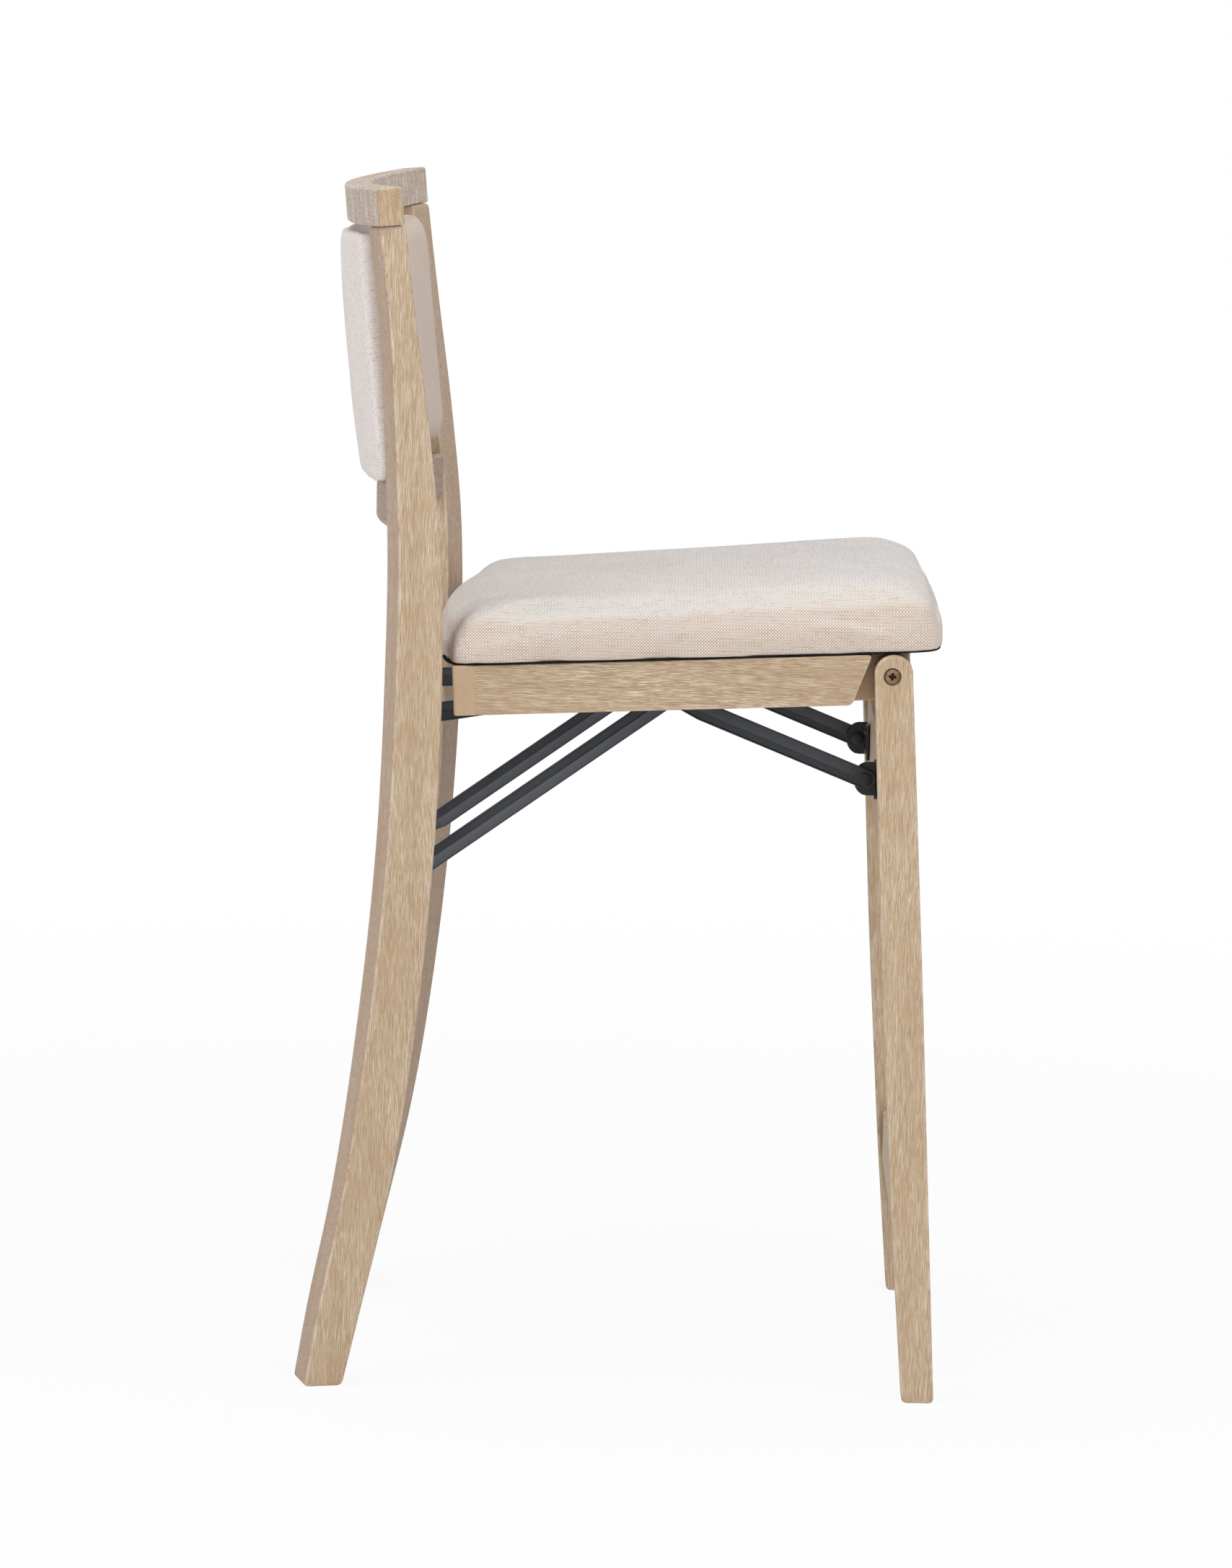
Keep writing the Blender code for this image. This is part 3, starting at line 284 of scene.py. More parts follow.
def makeLinen(name, finish):
    # the weave of each side of a box, blended by where the surface faces; upward faces are painted paler and
    # plainer, a painted reflection of the light from above
    mat, t, into = newMaterial(name, Specular_IOR_Level=0.15, Sheen_Weight=0.25, Sheen_Roughness=0.5)
    coords = put(t, "TexCoord")
    p = put(t, "SeparateXYZ", Vector=coords.outputs["Object"]).outputs
    n = put(t, "SeparateXYZ", Vector=coords.outputs["Normal"]).outputs
    weights = [maths(t, "POWER", maths(t, "ABSOLUTE", n[i]), 4.0) for i in range(3)]
    total = maths(t, "ADD", maths(t, "ADD", weights[0], weights[1]), maths(t, "ADD", weights[2], 0.0001))
    height, warp, gap = 0.0, 0.0, 0.0
    for i, (along, across) in enumerate(((1, 2), (0, 2), (0, 1))):
        got = placed(t, plainWeave, Along=p[along], Across=p[across], Pitch=finish["thread"])
        share = maths(t, "DIVIDE", weights[i], total)
        height, warp, gap = (maths(t, "ADD", had, maths(t, "MULTIPLY", one, share))
                             for had, one in zip((height, warp, gap), got))
    place = coords.outputs["Object"]
    thick = streaks(t, place, (60, 700, 700), 2)
    thin = streaks(t, place, (700, 60, 380), 2)
    slub = between(t, mixedValue(t, warp, thick, thin), 0.52, 0.66, 0.0, 0.55)
    cloud = noise(t, place, 14, 3, 0.55)
    # painted reflection: faces turned up take the top colour and show less weave, as the light from above falls on
    # them
    facingUp = maths(t, "ADD", n[2], maths(t, "MULTIPLY", maths(t, "SUBTRACT", cloud, 0.5), 0.5))
    paintedTopLight = between(t, facingUp, 0.35, 1.02)
    body = mixed(t, paintedTopLight, finish["side"], finish["top"])
    # painted shade: faces that look forward take the darker front colour
    if "front" in finish:
        body = mixed(t, between(t, n[1], -0.35, 0.25, 1.0, 0.0), body, finish["front"])
    body = mixed(t, slub, body, finish["slub"])
    body = mixed(t, maths(t, "MULTIPLY", warp, 1 - finish["weft"]), body, finish["gap"])
    # painted shade in the weave: the low parts of the threads and the gaps where they cross are darkened towards
    # the gap colour, less on upward faces
    body = mixed(t, between(t, height, 0.15, 0.85, finish["gapShadeShare"] * 0.36, 0.0), body, finish["gap"])
    shown = maths(t, "SUBTRACT", finish["gapShadeShare"], maths(t, "MULTIPLY", paintedTopLight, finish["gapShadeShare"] * 0.65))
    body = mixed(t, maths(t, "MULTIPLY", gap, shown), body, finish["gap"])
    body = mixed(t, between(t, cloud, 0.3, 0.7, 0.0, 0.10), body, finish["gap"])
    wire(t, body, into["Base Color"])
    wire(t, between(t, cloud, 0.3, 0.7, 0.86, 0.96), into["Roughness"])
    relief = maths(t, "ADD", height, maths(t, "MULTIPLY", slub, 0.5))
    embossed(t, relief, 0.6, finish["relief"], into["Normal"])
    return mat


# band is a painted highlight colour for the bars; dust and rubbed are the coat's own dust and worn edges
steelTints = {"band": shade(92, 95, 102), "dust": shade(96, 98, 101), "rubbed": shade(112, 114, 118)}


def makeSteel(name, dark, light, roughness, wear=0.5):
    # satin powder coat: fine orange-peel relief, cloudy tone, rubbed edges, and paler along a band, a painted
    # highlight where the bar's face catches the light
    mat, t, into = newMaterial(name, Specular_IOR_Level=0.42)
    place = put(t, "TexCoord").outputs["Object"]
    cloud = noise(t, place, 26, 4, 0.6)
    dust = between(t, noise(t, place, 420, 2, 0.7), 0.60, 0.74, 0.0, 0.30)
    band = put(t, "Attribute", {"attribute_name": "band"}).outputs["Fac"]
    body = mixed(t, between(t, cloud, 0.30, 0.72), dark, light)
    # painted highlight: the band attribute makes part of a bar's face paler, as the light it catches
    body = mixed(t, band, body, steelTints["band"])
    body = mixed(t, dust, body, steelTints["dust"])
    body = mixed(t, placed(t, edgeWear, Place=place, Amount=wear)[0], body, steelTints["rubbed"])
    wire(t, body, into["Base Color"])
    wire(t, between(t, cloud, 0.25, 0.75, roughness - 0.06, roughness + 0.10), into["Roughness"])
    peel = maths(t, "ADD", noise(t, place, 900, 2), maths(t, "MULTIPLY", cloud, 0.5))
    embossed(t, peel, 0.30, 0.00025, into["Normal"])
    return mat


def makeBronze(name):
    mat, t, into = newMaterial(name, Specular_IOR_Level=0.5)
    place = put(t, "TexCoord").outputs["Object"]
    cloud = noise(t, place, 180, 4, 0.65)
    turned = streaks(t, place, (120, 2400, 120), 2)
    body = mixed(t, between(t, cloud, 0.32, 0.68), shade(104, 78, 58), shade(156, 124, 96))
    # painted shade: the band attribute marks the pressed cross, which is painted dark as the shade in its recess
    body = mixed(t, put(t, "Attribute", {"attribute_name": "band"}).outputs["Fac"], body, shade(38, 28, 22))
    wire(t, body, into["Base Color"])
    wire(t, between(t, cloud, 0.3, 0.7, 0.60, 0.85), into["Metallic"])
    wire(t, between(t, turned, 0.3, 0.7, 0.34, 0.50), into["Roughness"])
    embossed(t, turned, 0.25, 0.0002, into["Normal"])
    return mat


def makeBlackCloth(name):
    mat, t, into = newMaterial(name, Specular_IOR_Level=0.1)
    place = put(t, "TexCoord").outputs["Object"]
    fluff = noise(t, place, 1100, 3, 0.7)
    cloud = noise(t, place, 45, 3)
    body = mixed(t, between(t, fluff, 0.4, 0.7), shade(20, 19, 19), shade(44, 42, 41))
    wire(t, mixed(t, between(t, cloud, 0.35, 0.7, 0.0, 0.4), body, shade(30, 26, 24)), into["Base Color"])
    wire(t, between(t, cloud, 0.3, 0.7, 0.88, 0.98), into["Roughness"])
    embossed(t, fluff, 0.6, 0.0005, into["Normal"])
    return mat


oak, oakRail, oakGrey, oakDark = (makeOak(n) for n in ("oak", "oakRail", "oakGrey", "oakDark"))
# painted light: the top rail's ends, along X, are multiplied warmer, as the warm lamp light on them
oakTop = makeOak("oakGrey_ends", paintedFacingLight=(0, shade(255, 240, 216)), flecks=0.5)
# painted shade: the posts' front and rear faces, along Y, are multiplied darker and cooler
oakPost = makeOak("oak_post", paintedFacingLight=(1, shade(238, 234, 240)))
oakPlain = makeOak("oakPlain")
oakCross = makeOak("oakPlain_cross", turn=(0, 0, 0))      # grain across the stool, on CAD nodes
linen = makeLinen("linen", linenFinish)
padLinen = makeLinen("linenBack", padFinish)
steel = makeSteel("blackSteel", shade(38, 41, 46), shade(52, 55, 60), 0.46)
steelDeep = makeSteel("blackSteelDeep", shade(26, 28, 31), shade(38, 40, 44), 0.42, 0.35)
bronze = makeBronze("bronzeScrew")
blackCloth = makeBlackCloth("blackCloth")
plywood = makeOak("oakDark_board", turn=(0, 0, 0), wear=0.0)
print("materials made:", len(bpy.data.materials))

nodeLooks = (        # the first row whose start fits a node's name; every other node is steel
    (("seat_rear_rail", "front_cross", "footrest", "pivot_block", "seat_front_apron"), oakCross),
    (("seat_board", "back_pad_board"), plywood),
    ("back_pad", padLinen),
    ("seat_cushion", linen),
    ("dust_cover", blackCloth),
    ("pivot_screw", bronze),
    (("rear_post", "top_rail", "lower_back_rail", "seat_side_rail", "front_leg_"), oakGrey),
)
for nodeName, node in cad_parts.items():
    look = next((fitting for start, fitting in nodeLooks if nodeName.startswith(start)), steelDeep)
    node.data.materials.clear()
    node.data.materials.append(look)


# Mesh helpers

def inScene(name, data):
    made = bpy.data.objects.new(name, data)
    bpy.context.scene.collection.objects.link(made)
    return made


def applyAll(piece, sharpFrom=None):
    # the modifiers' result becomes the mesh; edges steeper than sharpFrom degrees stay crisp
    bpy.context.view_layer.update()
    whole = bpy.data.meshes.new_from_object(piece.evaluated_get(bpy.context.evaluated_depsgraph_get()))
    piece.modifiers.clear()
    piece.data = whole
    if sharpFrom is not None:
        whole.shade_smooth()
        whole.set_sharp_from_angle(angle=math.radians(sharpFrom))


def coordinates(piece):
    flat = np.zeros(len(piece.data.vertices) * 3)
    piece.data.vertices.foreach_get("co", flat)
    return flat.reshape(-1, 3)


def setCoordinates(piece, points):
    piece.data.vertices.foreach_set("co", points.astype(np.float32).ravel())
    piece.data.update()


def unitRows(rows):
    return rows / np.linalg.norm(rows, axis=1)[:, None]


def gridFaces(rows, around, wrapped=False):
    # quads between the rings of a grid; wrapped joins the last ring to the first as well
    k, i = np.meshgrid(np.arange(rows if wrapped else rows - 1), np.arange(around), indexing="ij")
    j, n = (i + 1) % around, (k + 1) % rows
    return np.stack([k * around + i, k * around + j, n * around + j, n * around + i], -1).reshape(-1, 4)


def meshPiece(name, points, faces, look, attributes=None):
    # points is n x 3, faces rows of indices; a shell whose signed volume is negative has its faces turned round
    mesh = bpy.data.meshes.new(name)
    quads = np.asarray(faces)
    a, b, c = (points[quads[:, i]] for i in range(3))
    volume = np.einsum("ij,ij->", a, np.cross(b, c))
    if quads.shape[1] == 4:
        volume += np.einsum("ij,ij->", a, np.cross(c, points[quads[:, 3]]))
    if volume < 0:
        quads = quads[:, ::-1]
    mesh.from_pydata(points.tolist(), [], quads.tolist())
    mesh.update()
    mesh.materials.append(look)
    for label, values in (attributes or {}).items():
        vector = values.ndim == 2
        made = mesh.attributes.new(label, "FLOAT_VECTOR" if vector else "FLOAT", "POINT")
        made.data.foreach_set("vector" if vector else "value", values.astype(np.float32).ravel())
    mesh.shade_smooth()
    return inScene(name, mesh)


# Edge lines: rounded corners by a parabola from corner + r towards one side to corner + r towards the other

cornerReach = 1.75         # an outline's corner takes this many of its plate's edge roundings
cornerSteps = 4


def withCorners(left, right, radius):
    # left and right are the two long edges of an outline; their first and last points are its corners
    def rounded(edge, other):
        t = np.linspace(0, 1, cornerSteps + 1)[:, None]

        def arc(corner, across, along):
            a = corner + radius * (across - corner) / np.linalg.norm(across - corner)
            b = corner + radius * (along - corner) / np.linalg.norm(along - corner)
            return (1 - t) ** 2 * a + 2 * t * (1 - t) * corner + t ** 2 * b

        start = arc(edge[0], other[0], edge[1])
        end = arc(edge[-1], other[-1], edge[-2])[::-1]
        gap = np.linalg.norm(edge - edge[0], axis=1)
        rest = np.linalg.norm(edge - edge[-1], axis=1)
        clear = radius * 1.05                               # points nearer to a corner give way to its arc
        return np.vstack([start, edge[(gap > clear) & (rest > clear)], end])

    return rounded(left, right), rounded(right, left)


# A plate with rounded edges: the outline goes through the thickness, drawn in by r(1 - sin a) where it has sunk
# r(1 - cos a), with one more ring a little further in that keeps the flat faces flat.
# left and right are its long edges, point by point; place puts (p, q, thickness) rows in the world; grain gives
# the wood's own place; face lists lines pressed along both faces: (share of the way across, rise, share of painted
# highlight)

lineFade = {"length": 0.011, "plain": 1.25}     # a face's lines fade in over the length, after this many of it


def roundedPlate(name, left, right, thickness, radius, place, look, grain=None, steps=4, face=None):
    outline = np.vstack([left, right[::-1]])
    count = len(outline)
    back = outline - np.roll(outline, 1, 0)
    ahead = np.roll(outline, -1, 0) - outline
    back, ahead = unitRows(back), unitRows(ahead)
    area = np.sum(outline[:, 0] * np.roll(outline[:, 1], -1) - outline[:, 1] * np.roll(outline[:, 0], -1))
    turn = np.array([[0, -1], [1, 0]]) * np.sign(area)       # a row times this points outwards
    normalBack, normalAhead = back @ turn, ahead @ turn
    bisector = unitRows(normalBack + normalAhead)
    reach = 1 / np.maximum(0.5, np.sum(bisector * normalAhead, axis=1))
    inward = -bisector * reach[:, None]
    a = np.linspace(0, math.pi / 2, steps + 1)
    support = radius * 0.2
    inset = np.concatenate([[radius + support], radius * (1 - np.sin(a)), [0.0]])
    sunk = np.concatenate([[0.0], radius * (1 - np.cos(a)), [radius + support]])
    rounding = np.concatenate([[0.0], np.sin(2 * a), [0.0]])
    inset, edge = np.concatenate([inset, inset[::-1]]), np.concatenate([rounding, rounding[::-1]])
    level = np.concatenate([-thickness / 2 + sunk, (thickness / 2 - sunk)[::-1]])
    rings = outline[None] + inward[None] * inset[:, None, None]
    depth = np.broadcast_to(level[:, None, None], (len(level), count, 1))
    points = np.concatenate([rings, depth], axis=2).reshape(-1, 3)
    edges = np.repeat(edge, count)
    highlightShares = np.zeros(len(points))
    faces = [gridFaces(len(level), count)]
    half = count // 2
    for ring, sign in ((0, -1), (len(level) - 1, 1)):
        start = ring * count + np.arange(half)
        finish = ring * count + count - 1 - np.arange(half)
        columns = [start]
        if face is not None:
            for share, rise, band in face:
                base = points[start] * (1 - share) + points[finish] * share
                middle = (points[start] + points[finish]) / 2
                run = np.linalg.norm(np.diff(middle, axis=0, prepend=np.nan), axis=1)
                run[0] = 0.0
                along = np.cumsum(run)
                ends = np.minimum(along, along[-1] - along) / lineFade["length"] - lineFade["plain"]
                ends = np.clip(ends, 0, 1)
                base[:, 2] += sign * rise * ends
                columns.append(len(points) + np.arange(half))
                points = np.vstack([points, base])
                highlightShares = np.concatenate([highlightShares, band * ends])
                edges = np.concatenate([edges, np.zeros(half)])
        columns.append(finish)
        for one, two in zip(columns, columns[1:]):
            strip = np.stack([one[:-1], one[1:], two[1:], two[:-1]], -1)
            faces.append(strip if sign > 0 else strip[:, ::-1])
    if area < 0:
        faces[0] = faces[0][:, ::-1]
        faces[1:] = [f[:, ::-1] for f in faces[1:]]
    attributes = {"edge": edges, "band": highlightShares}
    if grain is not None:
        attributes["grain"] = grain(points)
    return meshPiece(name, place(points), np.vstack(faces), look, attributes)


def cutWith(piece, tool, sharpFrom):
    # cuts the tool's shape away, keeps the crisp rim, and deletes the tool
    cut = piece.modifiers.new("Cut", "BOOLEAN")
    cut.object, cut.operation, cut.solver = tool, "DIFFERENCE", "EXACT"
    applyAll(piece, sharpFrom)
    bpy.data.objects.remove(tool)


def setGrain(piece, axis, offset):
    points = coordinates(piece)
    kept = piece.data.attributes.get("grain") or piece.data.attributes.new("grain", "FLOAT_VECTOR", "POINT")
    kept.data.foreach_set("vector", grainAlong(axis, offset)(points).astype(np.float32).ravel())


boreSides = 40


def bored(piece, place, radius, fromX, toX):
    # a round hole along X through a plate, cut with a spun tool that is deleted again
    n = boreSides
    spin = np.linspace(0, 2 * math.pi, n, endpoint=False)
    ring = np.stack([np.zeros(n), radius * np.cos(spin) + yOf(place[0]), radius * np.sin(spin) + place[1]], 1)
    points = np.vstack([ring + (fromX, 0, 0), ring + (toX, 0, 0),
                        [[fromX, yOf(place[0]), place[1]], [toX, yOf(place[0]), place[1]]]])
    i = np.arange(n)
    j = (i + 1) % n
    walls = np.stack([i, j, j + n], -1), np.stack([i, j + n, i + n], -1)
    caps = np.stack([j, i, np.full(n, 2 * n)], -1), np.stack([i + n, j + n, np.full(n, 2 * n + 1)], -1)
    tool = meshPiece("boreTool", points, np.vstack(walls + caps), steel)
    cutWith(piece, tool, 32)


def standsFor(piece, body, slotName, *nodes):
    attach(piece, body)
    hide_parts(*nodes)
    return piece


def sideFrame(middleX, turn=0.0, aboutAhead=0.0):
    # stands (ahead, height, thickness) rows upright across the stool
    stand = Matrix(((0, 0, -1, 0), (-1, 0, 0, 0), (0, 1, 0, 0), (0, 0, 0, 1)))
    move = Matrix.Translation((middleX, yOf(aboutAhead), 0.0))
    return move @ Matrix.Rotation(turn, 4, "Z") @ stand @ Matrix.Translation((-aboutAhead, 0.0, 0.0))


def hermite(stations, column, height):
    # cubic through the stations, with the mean slope at each
    z, v = np.array([s[0] for s in stations]), np.array([s[column] for s in stations])
    slope = np.gradient(v, z)
    i = np.clip(np.searchsorted(z, height) - 1, 0, len(z) - 2)
    span = z[i + 1] - z[i]
    t = (height - z[i]) / span
    return ((2 * t ** 3 - 3 * t ** 2 + 1) * v[i] + (t ** 3 - 2 * t ** 2 + t) * span * slope[i]
            + (3 * t ** 2 - 2 * t ** 3) * v[i + 1] + (t ** 3 - t ** 2) * span * slope[i + 1])


def grainAlong(axis, offset):
    # the wood's own place: the value that runs with the grain first, moved on so that no two pieces look alike
    order = {0: (0, 1, 2), 1: (1, 0, 2), 2: (2, 0, 1)}[axis]
    return lambda points: points[:, order] + offset


# Rear posts: front edge F(z) and depth D(z) through the stations; a point is corner(z) + back * b + inward * t

rearPost = {
    "stations": ((0.000, -0.2800, 0.0300), (0.056, -0.2672, 0.0335), (0.146, -0.2470, 0.0362),
                 (0.281, -0.2268, 0.0378), (0.415, -0.2150, 0.0372), (0.548, -0.2106, 0.0366),
                 (0.635, -0.2125, 0.0338), (0.723, -0.2213, 0.0282), (0.810, -0.2330, 0.0215),
                 (0.8890, -0.2432, 0.0205)),                 # height, front edge ahead, depth
    "turn": math.radians(15.5), "width": 0.040, "halfSpan": 0.209, "footIn": 0.005, "straightAbove": 0.50,
    "rounding": 0.0024, "rows": 90, "topEase": 0.03,
}
topRail = {"radius": 0.7128, "halfWidth": 0.220, "depth": 0.0205, "height": 0.0288, "endBack": -0.2628,
           "lean": math.radians(5.5), "rounding": 0.0020, "seatGap": 0.0003}


def makePosts(v, rail):
    top = v["stations"][-1][0]
    ease = v["topEase"]                                     # only this much of the top follows the leaning rail
    sin, cos = math.sin(v["turn"]), math.cos(v["turn"])
    for number, (word, side) in enumerate(sides):
        def place(p, side=side):
            q, z, t = p.T
            back = hermite(v["stations"], 1, z) - q
            inward = t + v["width"] / 2
            half = v["halfSpan"] - v["footIn"] * np.maximum(0, 1 - z / v["straightAbove"])
            x = half + sin * back - cos * inward
            ahead = q + (1 - cos) * back - sin * inward
            cut = (ahead - rail["endBack"]) * math.tan(rail["lean"])
            return np.stack([side * x, yOf(ahead), z + cut * np.clip((z - top + ease) / ease, 0, 1)], 1)

        z = np.linspace(0, top, v["rows"])
        front = hermite(v["stations"], 1, z)
        left = np.stack([front, z], 1)
        right = np.stack([front - hermite(v["stations"], 2, z), z], 1)
        left, right = withCorners(left, right, v["rounding"] * cornerReach)
        post = roundedPlate("rearPost_" + word, left, right, v["width"], v["rounding"], place, oakPost,
                            grainAlong(1, (0.37 * number, 0.11, 0.4 * number)))
        standsFor(post, "rear_frame", "wood", "rear_post_" + word)


# Bent rails: two arcs about one centre, radius R and R - depth; the grain follows the arc

def bentEdges(radius, depth, halfBack, halfFront, rows):
    a, b = (math.asin(h / r) * np.linspace(-1, 1, rows)
            for h, r in ((halfBack, radius), (halfFront, radius - depth)))
    outer = np.stack([radius * np.sin(a), radius * (np.cos(a) - 1)], 1)
    inner = np.stack([(radius - depth) * np.sin(b), (radius - depth) * np.cos(b) - radius], 1)
    return outer, inner


def arcGrain(radius, offset):
    return lambda p: np.stack([radius * np.arctan2(p[:, 0], p[:, 1] + radius),
                               np.hypot(p[:, 0], p[:, 1] + radius) - radius, p[:, 2]], 1) + offset


def makeTopRail(v, post):
    outer, inner = bentEdges(v["radius"], v["depth"], v["halfWidth"],
                             v["halfWidth"] * (1 - v["depth"] / v["radius"]), 70)
    left, right = withCorners(outer, inner, v["rounding"] * cornerReach)
    sag = v["radius"] - math.sqrt(v["radius"] ** 2 - v["halfWidth"] ** 2)
    low = post["stations"][-1][0] + v["seatGap"] / math.cos(v["lean"])
    matrix = (Matrix.Translation((0, yOf(v["endBack"]), low)) @ Matrix.Rotation(-v["lean"], 4, "X")
              @ Matrix.Translation((0, sag, v["height"] / 2)))
    rail = roundedPlate("topRail", left, right, v["height"], v["rounding"], lambda p: carried(matrix, p),
                        oakTop, arcGrain(v["radius"], (0.9, 0.03, 0.2)))
    standsFor(rail, "rear_frame", "wood", "top_rail")


lowerRail = {"radius": 0.560, "depth": 0.020, "low": 0.6545, "height": 0.0365, "centreBack": -0.2720,
             "halfBack": 0.1740, "halfFront": 0.1686, "rounding": 0.0038}


def makeLowerRail(v):
    outer, inner = bentEdges(v["radius"], v["depth"], v["halfBack"], v["halfFront"], 60)
    left, right = withCorners(outer, inner, v["rounding"] * cornerReach)
    matrix = Matrix.Translation((0, yOf(v["centreBack"]), v["low"] + v["height"] / 2))
    rail = roundedPlate("lowerBackRail", left, right, v["height"], v["rounding"], lambda p: carried(matrix, p),
                        oakDark, arcGrain(v["radius"], (0.2, 0.6, 0.5)))
    standsFor(rail, "rear_frame", "wood", "lower_back_rail")


makePosts(rearPost, topRail)
makeTopRail(topRail, rearPost)
makeLowerRail(lowerRail)
print("rear frame built")


# Seat rails

seat = {"cornerAhead": 0.0996, "cornerHeight": 0.5358, "tilt": math.radians(3.0), "railHeight": 0.038,
        "railWidth": 0.020, "frontOuter": 0.2225, "rearOuter": 0.2068, "slant": 0.0168, "run": 0.2840,
        "tenon": 0.003, "rounding": 0.0012, "corner": 0.0041}


def seatPoint(along, above):
    # (ahead, height) of a place along the tilted rails' lower edge and square above it, from its front corner
    c, s = math.cos(seat["tilt"]), math.sin(seat["tilt"])
    return seat["cornerAhead"] + along * c - above * s, seat["cornerHeight"] + along * s + above * c


def seatFrame():
    return (Matrix.Translation((0, yOf(seat["cornerAhead"]), seat["cornerHeight"]))
            @ Matrix.Rotation(-seat["tilt"], 4, "X"))


def makeSideRails(v):
    # four straight edges from the tenon to the slanted front end, turned about the front corner towards the middle
    taper = math.atan((v["frontOuter"] - v["rearOuter"]) / v["run"])
    middle = v["frontOuter"] - v["railWidth"] / 2
    share = np.linspace(0, 1, 40)[:, None]
    low = np.array(seatPoint(-v["run"] - v["tenon"], 0)) * (1 - share) + np.array(seatPoint(0, 0)) * share
    high = (np.array(seatPoint(-v["run"] - v["tenon"], v["railHeight"])) * (1 - share)
            + np.array(seatPoint(v["slant"], v["railHeight"])) * share)
    left, right = withCorners(low, high, v["corner"])
    for number, (word, side) in enumerate(sides):
        matrix = sideFrame(side * middle, side * taper, v["cornerAhead"])
        rail = roundedPlate("seatSideRail_" + word, left, right, v["railWidth"], v["rounding"],
                            lambda p, m=matrix: carried(m, p), oakRail, grainAlong(0, (0.8 * number, 0.5, 0.3)))
        standsFor(rail, "seat", "wood", "seat_side_rail_" + word)


makeSideRails(seat)


# Rear rail: the back edge is an arc of radius R; the front edge runs a depth inside it, and at both ends it
# closes the side rails

rearRail = {"radius": 4.450, "depth": 0.025, "block": 0.018, "proud": 0.0001, "rounding": 0.0016,
            "notchAt": 0.12075, "notchWidth": 0.013, "notchHeight": 0.011, "notchOver": 0.01,
            "notchReach": 0.045, "step": 0.001}


def makeRearRail(v):
    half, run, wide = seat["rearOuter"], seat["run"], seat["railWidth"]
    sag = v["radius"] - math.sqrt(v["radius"] ** 2 - half ** 2)
    back = run + v["block"]
    taper = math.atan((seat["frontOuter"] - seat["rearOuter"]) / run)
    inside = half - wide - v["step"]
    x = np.concatenate([np.linspace(-half, -half + wide, 8), np.linspace(-inside, inside, 60),
                        np.linspace(half - wide, half, 8)])
    bow = np.sqrt(v["radius"] ** 2 - x ** 2) - v["radius"] + sag
    atEnd = run * math.cos(taper) + (np.abs(x) - half + wide / 2) * math.tan(taper)
    front = np.where(np.abs(x) > half - wide - v["step"] / 2, atEnd, back + bow - v["depth"])
    left, right = withCorners(np.stack([x, back + bow], 1), np.stack([x, front], 1),
                              v["rounding"] * cornerReach)
    lift = seatFrame() @ Matrix.Translation((0, 0, seat["railHeight"] / 2))
    rail = roundedPlate("seatRearRail", left, right, seat["railHeight"] + 2 * v["proud"], v["rounding"],
                        lambda p: carried(lift, p), oakPlain)
    for side in (-1, 1):
        w, h, m = v["notchWidth"] / 2, v["notchHeight"], side * v["notchAt"]
        corners = np.array([(m + a * w, back + v["notchOver"] + b * v["notchReach"], c)
                            for a in (-1, 1) for b in (-1, 1) for c in (-v["notchOver"], h)])
        walls = [(0, 1, 3, 2), (4, 6, 7, 5), (0, 4, 5, 1), (2, 3, 7, 6), (0, 2, 6, 4), (1, 5, 7, 3)]
        tool = meshPiece("notchTool", carried(seatFrame(), corners), walls, oakPlain)
        cutWith(rail, tool, 30)
    setGrain(rail, 0, (0.4, 0.2, 0.7))
    standsFor(rail, "seat", "wood", "seat_rear_rail")


makeRearRail(rearRail)


# Front legs: straight stretches between the stations, then two quarter turns of radius R to the top of the leg

frontLeg = {"stations": ((0.000, 0.1490, 0.1735), (0.126, 0.1392, 0.1673), (0.304, 0.1280, 0.1586),
                         (0.5604, 0.1156, 0.1446)),
            "outer": 0.2255, "width": 0.024, "rounding": 0.0024, "sinkRadius": 0.0068, "sinkDepth": 0.0035,
            "holeRadius": 0.0033, "pivot": (0.1290, 0.5585), "over": 0.01, "through": 0.05,
            "ease": 9, "flat": 0.03}


